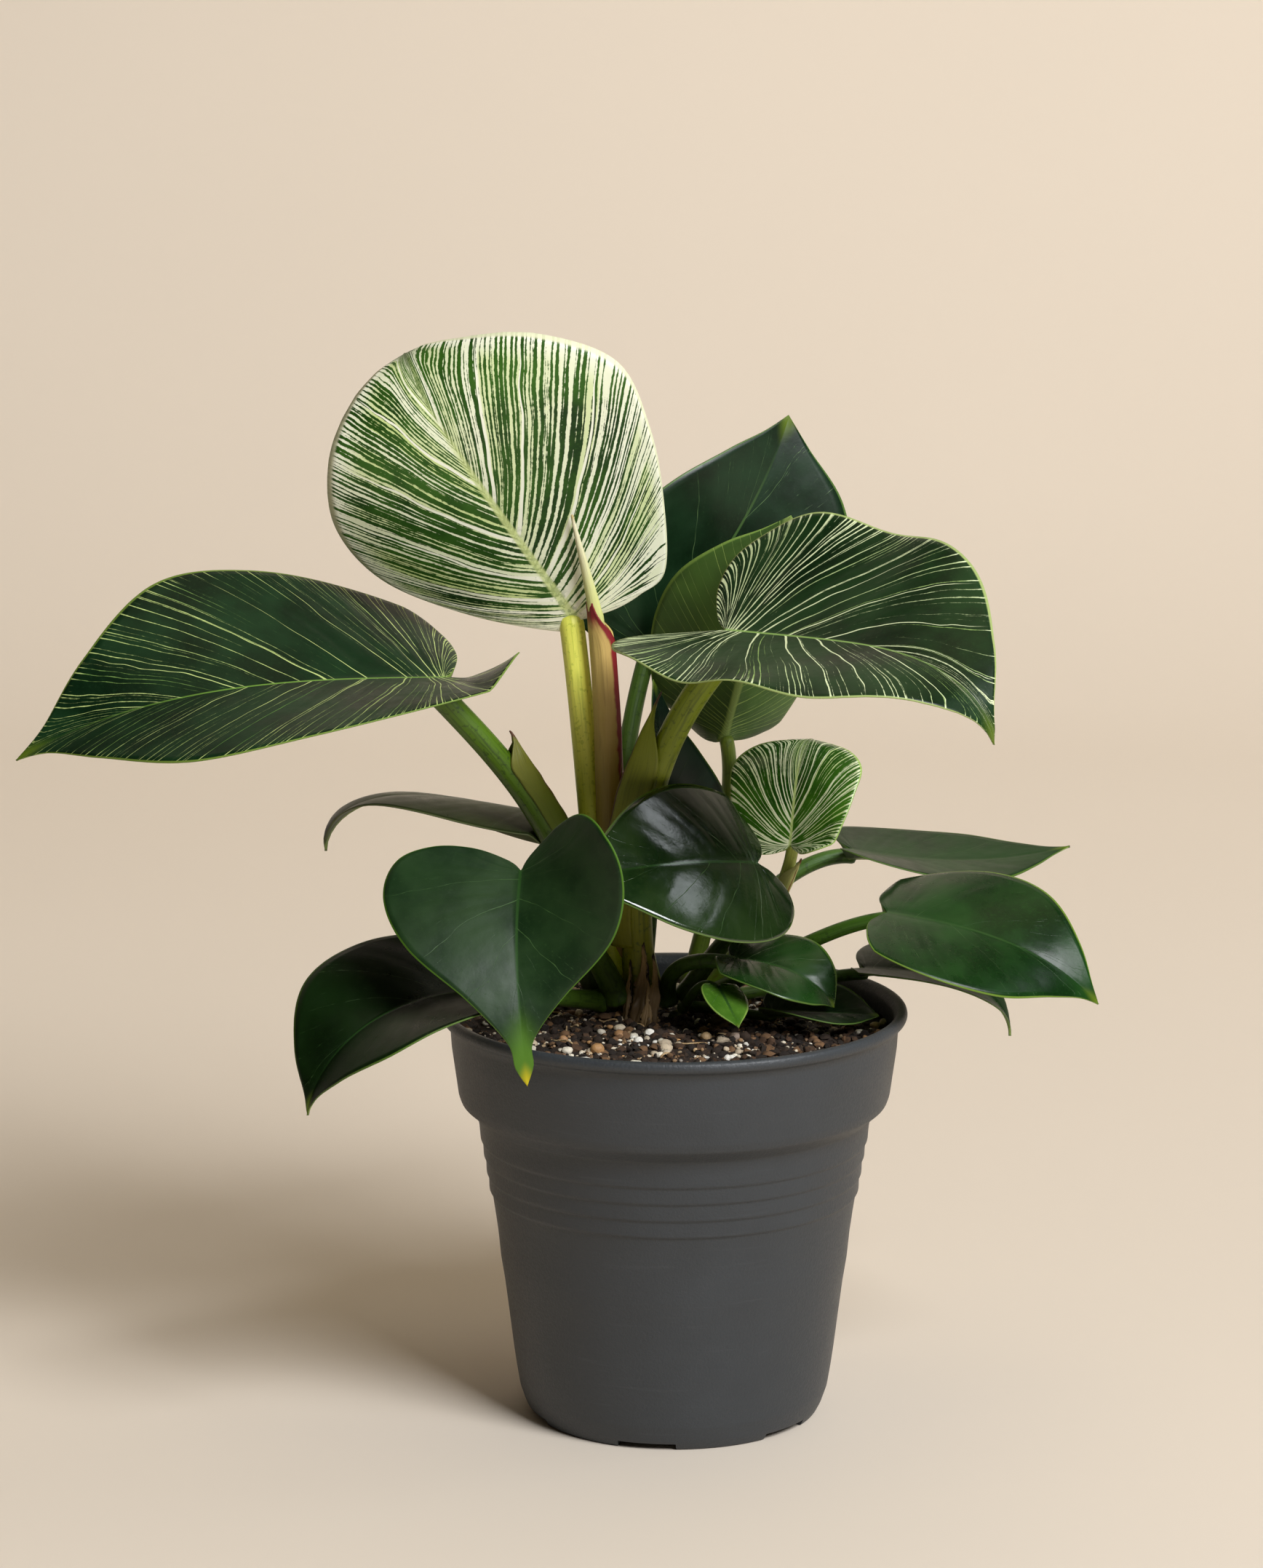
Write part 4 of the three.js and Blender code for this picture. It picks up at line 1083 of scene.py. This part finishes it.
def clumps(seed, scale, low, high, least):
    """A rule for scatter: grains are likely where a broad noise is high, and least elsewhere."""
    return lambda x, y: mix(least, 1, smooth(noise.noise(Vector((x, y, seed)) * scale), low, high))


def grain_turn(chance):
    """A random stretch and turn for one grain."""
    axis = Vector([chance.uniform(-1, 1) for _ in range(3)]).normalized()
    turn = Quaternion(axis, chance.uniform(0, 6.28)).to_matrix().to_4x4()
    stretch = [chance.uniform(low, high) for low, high in ((0.75, 1.25), (0.75, 1.15), (0.6, 0.95))]
    return Matrix.Diagonal([*stretch, 1]), turn


def scatter(name, finish, count, sizes, detail, rough, tints, seed, where=lambda x, y: 1, fixed=()):
    """Many grains as one piece: five shapes, copied, turned and scaled, each copy with its own tint.
    where(x, y) is how likely a grain is to lie there, and fixed are (x, y, size, tint) of listed ones."""
    chance = random.Random(seed)
    shapes = [grain_shape(f"{name}_shape_{i}", seed + i, rough, detail) for i in range(5)]
    spots = list(fixed)
    while len(spots) < count + len(fixed):
        x, y = random_spot(chance, 54.5)
        if chance.random() <= where(x, y):
            size = mix(*sizes, chance.random() ** 1.8)
            spots.append((x, y, size, chance.choice(tints)))
    copies = []
    for x, y, size, tint in spots:
        mesh = chance.choice(shapes).data.copy()
        stretch, turn = grain_turn(chance)
        x, y = kept_within(x, y, 55 - size)
        rest = Vector((x, y, soil_height(x, y) + size * 0.25))
        mesh.transform(Matrix.Translation(rest * MM) @ Matrix.Scale(size * MM, 4) @ stretch @ turn)
        shade = chance.uniform(0.8, 1.12)
        color = [clamp(c * shade, 0, 1) for c in tone(*tint)] + [1]
        layer = mesh.color_attributes.new("tint", "FLOAT_COLOR", "POINT")
        layer.data.foreach_set("color", color * len(mesh.vertices))
        copy = bpy.data.objects.new(name, mesh)
        bpy.context.collection.objects.link(copy)
        copies.append(copy)
    for original in shapes:
        bpy.data.objects.remove(original)
    piece = joined(copies, name)
    paint(piece, finish)
    return dressed(piece, "soil", angle=50)


def straws(count, seed):
    """Short straws lying on the soil, as one piece."""
    chance = random.Random(seed)
    pieces = []
    for _ in range(count):
        x, y = random_spot(chance, 50)
        heading, length = chance.uniform(0, math.pi), chance.uniform(3, 9)
        route = []
        for k in range(4):
            way = length * (k / 3 - 0.5)
            a, b = kept_within(x + way * math.cos(heading), y + way * math.sin(heading), 53)
            route.append((a, b, soil_height(a, b) + chance.uniform(0.3, 0.9)))
        pieces.append(tube("straw", route, (0.3, 0.22), along=14, around=8))
    return joined(pieces, "straws_in_soil")


def soil_finish():
    finish = Finish("moist_peat")
    broad = finish.cloud(260.0, 4.0, 0.65)
    fine = finish.cloud(1500.0, 3.0, 0.6)
    color = finish.blend(finish.step(broad, 0.35, 0.68), (20, 13, 8), (52, 35, 22))
    color = finish.blend(finish.step(fine, 0.6, 0.72) * 0.6, color, (96, 66, 42))
    relief = finish.bump(broad + fine * 0.5, 0.0009, 0.9)
    return finish.shader(BaseColor=color, Roughness=0.85 + (fine - 0.5) * 0.2, Normal=relief)


def grain_finish(name, roughness, pit_scale, dark):
    finish = Finish(name)
    tint = finish.attribute("tint", output=0)
    pits = finish.cloud(pit_scale, 3.0, 0.65)
    color = finish.blend(finish.step(pits, 0.52, 0.75) * 0.7, tint, dark)
    return finish.shader(
        BaseColor=color, Roughness=roughness + (pits - 0.5) * 0.2, Normal=finish.bump(pits, 0.0004, 0.8))


# ---------------------------------------------------------------- building it all

for leaf in LEAVES:
    blade_piece(leaf, *leaf_finishes(leaf))

for leaf in LEAVES:
    name, end_radius = leaf["name"], leaf["radii"][1]
    # the stalk ends a little way under the blade, inside its keel
    point, _, face = Blade(leaf).station(end_radius * 0.9)
    stalk = tube(
        "stalk_" + name, [*leaf["petiole"], point - face * end_radius * 0.7], leaf["radii"],
        section=lambda u, angle: 1 + 0.3 * (1 - smooth(u, 0, 0.12)), along=56, around=24)
    paint(stalk, stalk_finish("skin_of_stalk_" + name, *STALKS.get(name, PLAIN_STALK)))
    dressed(stalk, "petiole", "petiole_" + name)

# The next leaf, still rolled: the step round it is the free edge of the rolled blade.
ROLLED = [(-19, 2.4, 196), (-20, 1.2, 208), (-23, -2, 222), (-26, -5.5, 235)]
rolled = tube(
    "spear_of_next_leaf", ROLLED, (1.4, 1.75, 1.0, 0.3), along=90, around=48,
    section=lambda u, angle: 1 + 0.14 * ((angle / (2 * math.pi) + 0.45 + 0.25 * u) % 1))
cream = sheath_finish("cream_of_next_leaf", (206, 210, 128), (238, 230, 194), (200, 178, 120), edge_width=0.04)
paint(rolled, cream)
dressed(rolled, "rolled_leaf", "rolled_leaf")

SLEEVE = [(-13, 13, 109), (-16, 7, 143), (-17, 4, 174), (-19.5, 1.5, 212)]
sleeve = wrap(
    "sleeve_of_next_leaf", SLEEVE, (3.2, 3.3, 3.1, 2.8), (-205, -20), (178, 64), rise=0.9, along=120)
olive = sheath_finish("olive_and_red_sleeve", (146, 128, 46), (200, 176, 100), (124, 10, 24), edge_width=0.13)
paint(sleeve, olive)
dressed(sleeve, "leaf_sleeve", "leaf_sleeve")

# leaf, route, radii, colours of foot, tip and edge
SHEATHS = [
    ("right_wavy", [(-13, 6, 122), (-14, 2, 142), (-11, -4, 164), (-3, -7, 189)], (3.4, 4.2, 3.6, 0.8),
     (128, 130, 14), (128, 140, 24), (78, 48, 24)),
    ("left_long", [(-21, 5, 136), (-28, 1, 154), (-35, -3.5, 167), (-42, -6, 179)], (0.6, 1.2, 1.2, 0.7),
     (84, 96, 14), (112, 112, 34), (88, 48, 28)),
    ("young_striped", [(23.4, 9.4, 125), (26.8, 7, 132), (29.2, 5, 138), (32, 2.6, 145)],
     (1.4, 1.8, 1.6, 0.7), (150, 160, 64), (200, 196, 124), (120, 78, 40)),
]
for name, route, radii, *colors in SHEATHS:
    leaf = next(leaf for leaf in LEAVES if leaf["name"] == name)
    sheath = husk("husk_of_" + name, leaf, route, radii, ragged=1.5)
    paint(sheath, sheath_finish("skin_of_husk_" + name, *colors, edge_at=0.5, edge_width=0.04, edge_from=0.45))
    dressed(sheath, "sheath", "sheath_" + name)

# The dried scales at the foot of the stalks, each a few torn strips: (shift, turn, share of the size)
SCALES = [
    ("main", [(-10, 1, 99), (-9, 1, 106), (-8, 2, 114), (-8, 3, 122)], (1.7, 2.1, 1.5, 0.3),
     [((0, 0, 0), 0, 1.0), ((2.4, -1, -3), 40, 0.9), ((-3, 0.5, -5), -50, 0.9), ((1, -2, -8), 10, 0.8)]),
    ("small", [(6, 1, 99), (11, -3, 103), (16, -7, 107), (20, -10, 111)], (1.6, 2.0, 1.5, 0.4),
     [((0, 0, 0), 0, 1.0), ((-1.5, 1, -1), 60, 0.7)]),
]
for name, route, radii, strips in SCALES:
    pieces = [
        wrap(
            f"scale_{name}_{i}", [Vector(point) + Vector(shift) for point in route],
            [radius * size for radius in radii], (turn, turn + 60), (turn + 170, turn + 120),
            depth=0.6, rise=0.3, ragged=0.5)
        for i, (shift, turn, size) in enumerate(strips)]
    scale = joined(pieces, "torn_scale_" + name)
    paint(scale, sheath_finish("papery_scale_" + name, (84, 64, 36), (186, 152, 104), (50, 34, 20)))
    dressed(scale, "dry_scale", "dry_scale_" + name)


def stump_section(u, angle):
    """Rings of old leaf scars, and a stem that isn't quite round."""
    return 0.94 + 0.12 * abs(math.sin(12 * u + math.sin(angle))) + 0.05 * math.sin(3 * angle)


# place, height of both ends, and radius at both ends
STUMPS = [("main", (-13, 12), (86, 107), (6, 4.6)), ("side", (4, 20), (86, 105), (4.6, 3.6)),
          ("small", (1, 7), (86, 104), (3.4, 2.8))]
THIRDS = (0, 1 / 3, 2 / 3, 1)
stump_skin = wood_finish("old_stem_skin", (34, 46, 16), (96, 100, 46), 300.0)
for name, spot, ends, radii in STUMPS:
    route = [(*spot, mix(*ends, share)) for share in THIRDS]
    stump = tube(
        "stump_" + name, route, [mix(*radii, share) for share in THIRDS], stump_section, along=60, around=32)
    paint(stump, stump_skin)
    dressed(stump, "stem", "stem_" + name)

pot_piece(pot_finish())
soil_piece(soil_finish())
peat = grain_finish("peat_crumb", 0.9, 900.0, (18, 11, 7))
perlite = grain_finish("perlite", 0.75, 1400.0, (150, 138, 120))
stones = grain_finish("small_stone", 0.6, 700.0, (96, 78, 60))
scatter("peat_crumbs", peat, 2200, (0.4, 1.6), 1, 0.5,
        [(46, 32, 20), (32, 22, 14), (72, 50, 32), (112, 82, 54), (38, 26, 16)], 5)
scatter("perlite_grains", perlite, 420, (0.3, 1.7), 2, 0.35,
        [(226, 216, 196), (206, 190, 164), (236, 230, 218), (190, 172, 146)], 8,
        where=clumps(3, 0.09, -0.1, 0.35, 0.12),
        fixed=[(-10, -46, 2.6, (236, 228, 208)), (-19, -48, 2.0, (206, 170, 118)),
               (-25, -47, 1.7, (196, 158, 108)), (20, -43, 1.5, (196, 204, 206)),
               (38, -37, 2.2, (206, 190, 164)), (44, -31, 1.9, (222, 206, 180))])
scatter("fine_chips", perlite, 1300, (0.25, 0.75), 1, 0.4,
        [(214, 200, 176), (150, 118, 84), (182, 156, 120), (112, 84, 58)], 31,
        where=clumps(9, 0.08, -0.2, 0.4, 0.3))
scatter("small_stones", stones, 70, (0.6, 1.8), 2, 0.22,
        [(184, 138, 88), (158, 118, 80), (150, 140, 128), (200, 168, 124), (128, 110, 96)], 11)
straw = straws(26, 21)
paint(straw, wood_finish("dry_straw", (150, 118, 78), (206, 178, 134), 500.0))
dressed(straw, "soil")


# ---------------------------------------------------------------- stage, lights and camera

def stage_finish():
    finish = Finish("beige_paper")
    soft = finish.cloud(2.2, 2.0)
    color = finish.blend(soft, (219, 207, 192), (224, 212, 197))
    return finish.shader(BaseColor=color, Roughness=0.9, SpecularIORLevel=0.2)


def backdrop():
    """Floor and wall in one sweep, in metres: the floor ends at back, and a bend leads up to the wall."""
    front, back, bend, wall, width, below = -3.0, 0.9, 0.7, 3.2, 8.0, -0.0001
    clear_selection()
    bpy.ops.mesh.primitive_plane_add(size=1, location=(0, 0, 0))
    sweep = bpy.context.object
    sweep.name = "backdrop"
    for vertex in sweep.data.vertices:
        vertex.co = Vector((vertex.co.x * width, back if vertex.co.y > 0 else front, below))
    bpy.ops.object.mode_set(mode="EDIT")
    bpy.ops.mesh.select_mode(type="EDGE")
    bpy.ops.mesh.select_all(action="DESELECT")
    bpy.ops.object.mode_set(mode="OBJECT")
    for edge in sweep.data.edges:
        edge.select = all(sweep.data.vertices[i].co.y > back - 0.01 for i in edge.vertices)
    bpy.ops.object.mode_set(mode="EDIT")
    steps = 24
    for k in range(1, steps + 1):
        a0, a1 = (math.pi / 2 * j / steps for j in (k - 1, k))
        move = (0, bend * (math.sin(a1) - math.sin(a0)), bend * (math.cos(a0) - math.cos(a1)))
        bpy.ops.mesh.extrude_region_move(TRANSFORM_OT_translate={"value": move})
    bpy.ops.mesh.extrude_region_move(TRANSFORM_OT_translate={"value": (0, 0, wall)})
    bpy.ops.object.mode_set(mode="OBJECT")
    bpy.ops.object.shade_smooth()
    paint(sweep, stage_finish())


def softbox(name, place, target, size, power, color, spread=180):
    """A rectangular light at a place, in metres, turned to a target."""
    light = bpy.data.lights.new(name, "AREA")
    light.shape = "RECTANGLE"
    light.size, light.size_y = size
    light.energy = power
    light.color = color
    light.spread = math.radians(spread)
    lamp = bpy.data.objects.new(name, light)
    bpy.context.collection.objects.link(lamp)
    lamp.location = place
    lamp.rotation_euler = (Vector(target) - Vector(place)).to_track_quat("-Z", "Y").to_euler()


def room_light(color, strength):
    world = bpy.data.worlds.new("room")
    world.use_nodes = True
    ground = world.node_tree.nodes["Background"]
    ground.inputs[0].default_value = (*color, 1)
    ground.inputs[1].default_value = strength
    bpy.context.scene.world = world


CAMERA = dict(place=(-11, -1200, 404), down=11.27, focal_px=6600, image_height_px=2155)


def camera():
    lens = bpy.data.cameras.new("view")
    lens.sensor_width = 36
    lens.lens = lens.sensor_width * CAMERA["focal_px"] / CAMERA["image_height_px"]
    viewer = bpy.data.objects.new("view", lens)
    bpy.context.collection.objects.link(viewer)
    viewer.location = Vector(CAMERA["place"]) * MM
    viewer.rotation_euler = (math.radians(90 - CAMERA["down"]), 0, 0)
    bpy.context.scene.camera = viewer


bpy.context.scene.view_settings.view_transform = "Standard"
backdrop()
softbox("key_light", (1.3, -1.7, 1.9), (0, 0, 0.12), (1.2, 1.2), 98, (0.955, 0.975, 1.0))
softbox("top_light", (0.1, 0.0, 2.2), (0, 0, 0.1), (1.6, 1.6), 7.5, (1, 0.84, 0.56))
softbox("wall_wash", (0.6, 0.5, 2.3), (0.3, 1.6, 0.7), (1.6, 0.5), 4.5, (1, 0.95, 0.88), spread=90)
softbox("side_window", (1.1, 0.1, 1.3), (0, 0, 0.15), (0.3, 0.3), 0.9, (0.9, 0.95, 1.0))
room_light((1, 0.8, 0.5), 0.028)
camera()
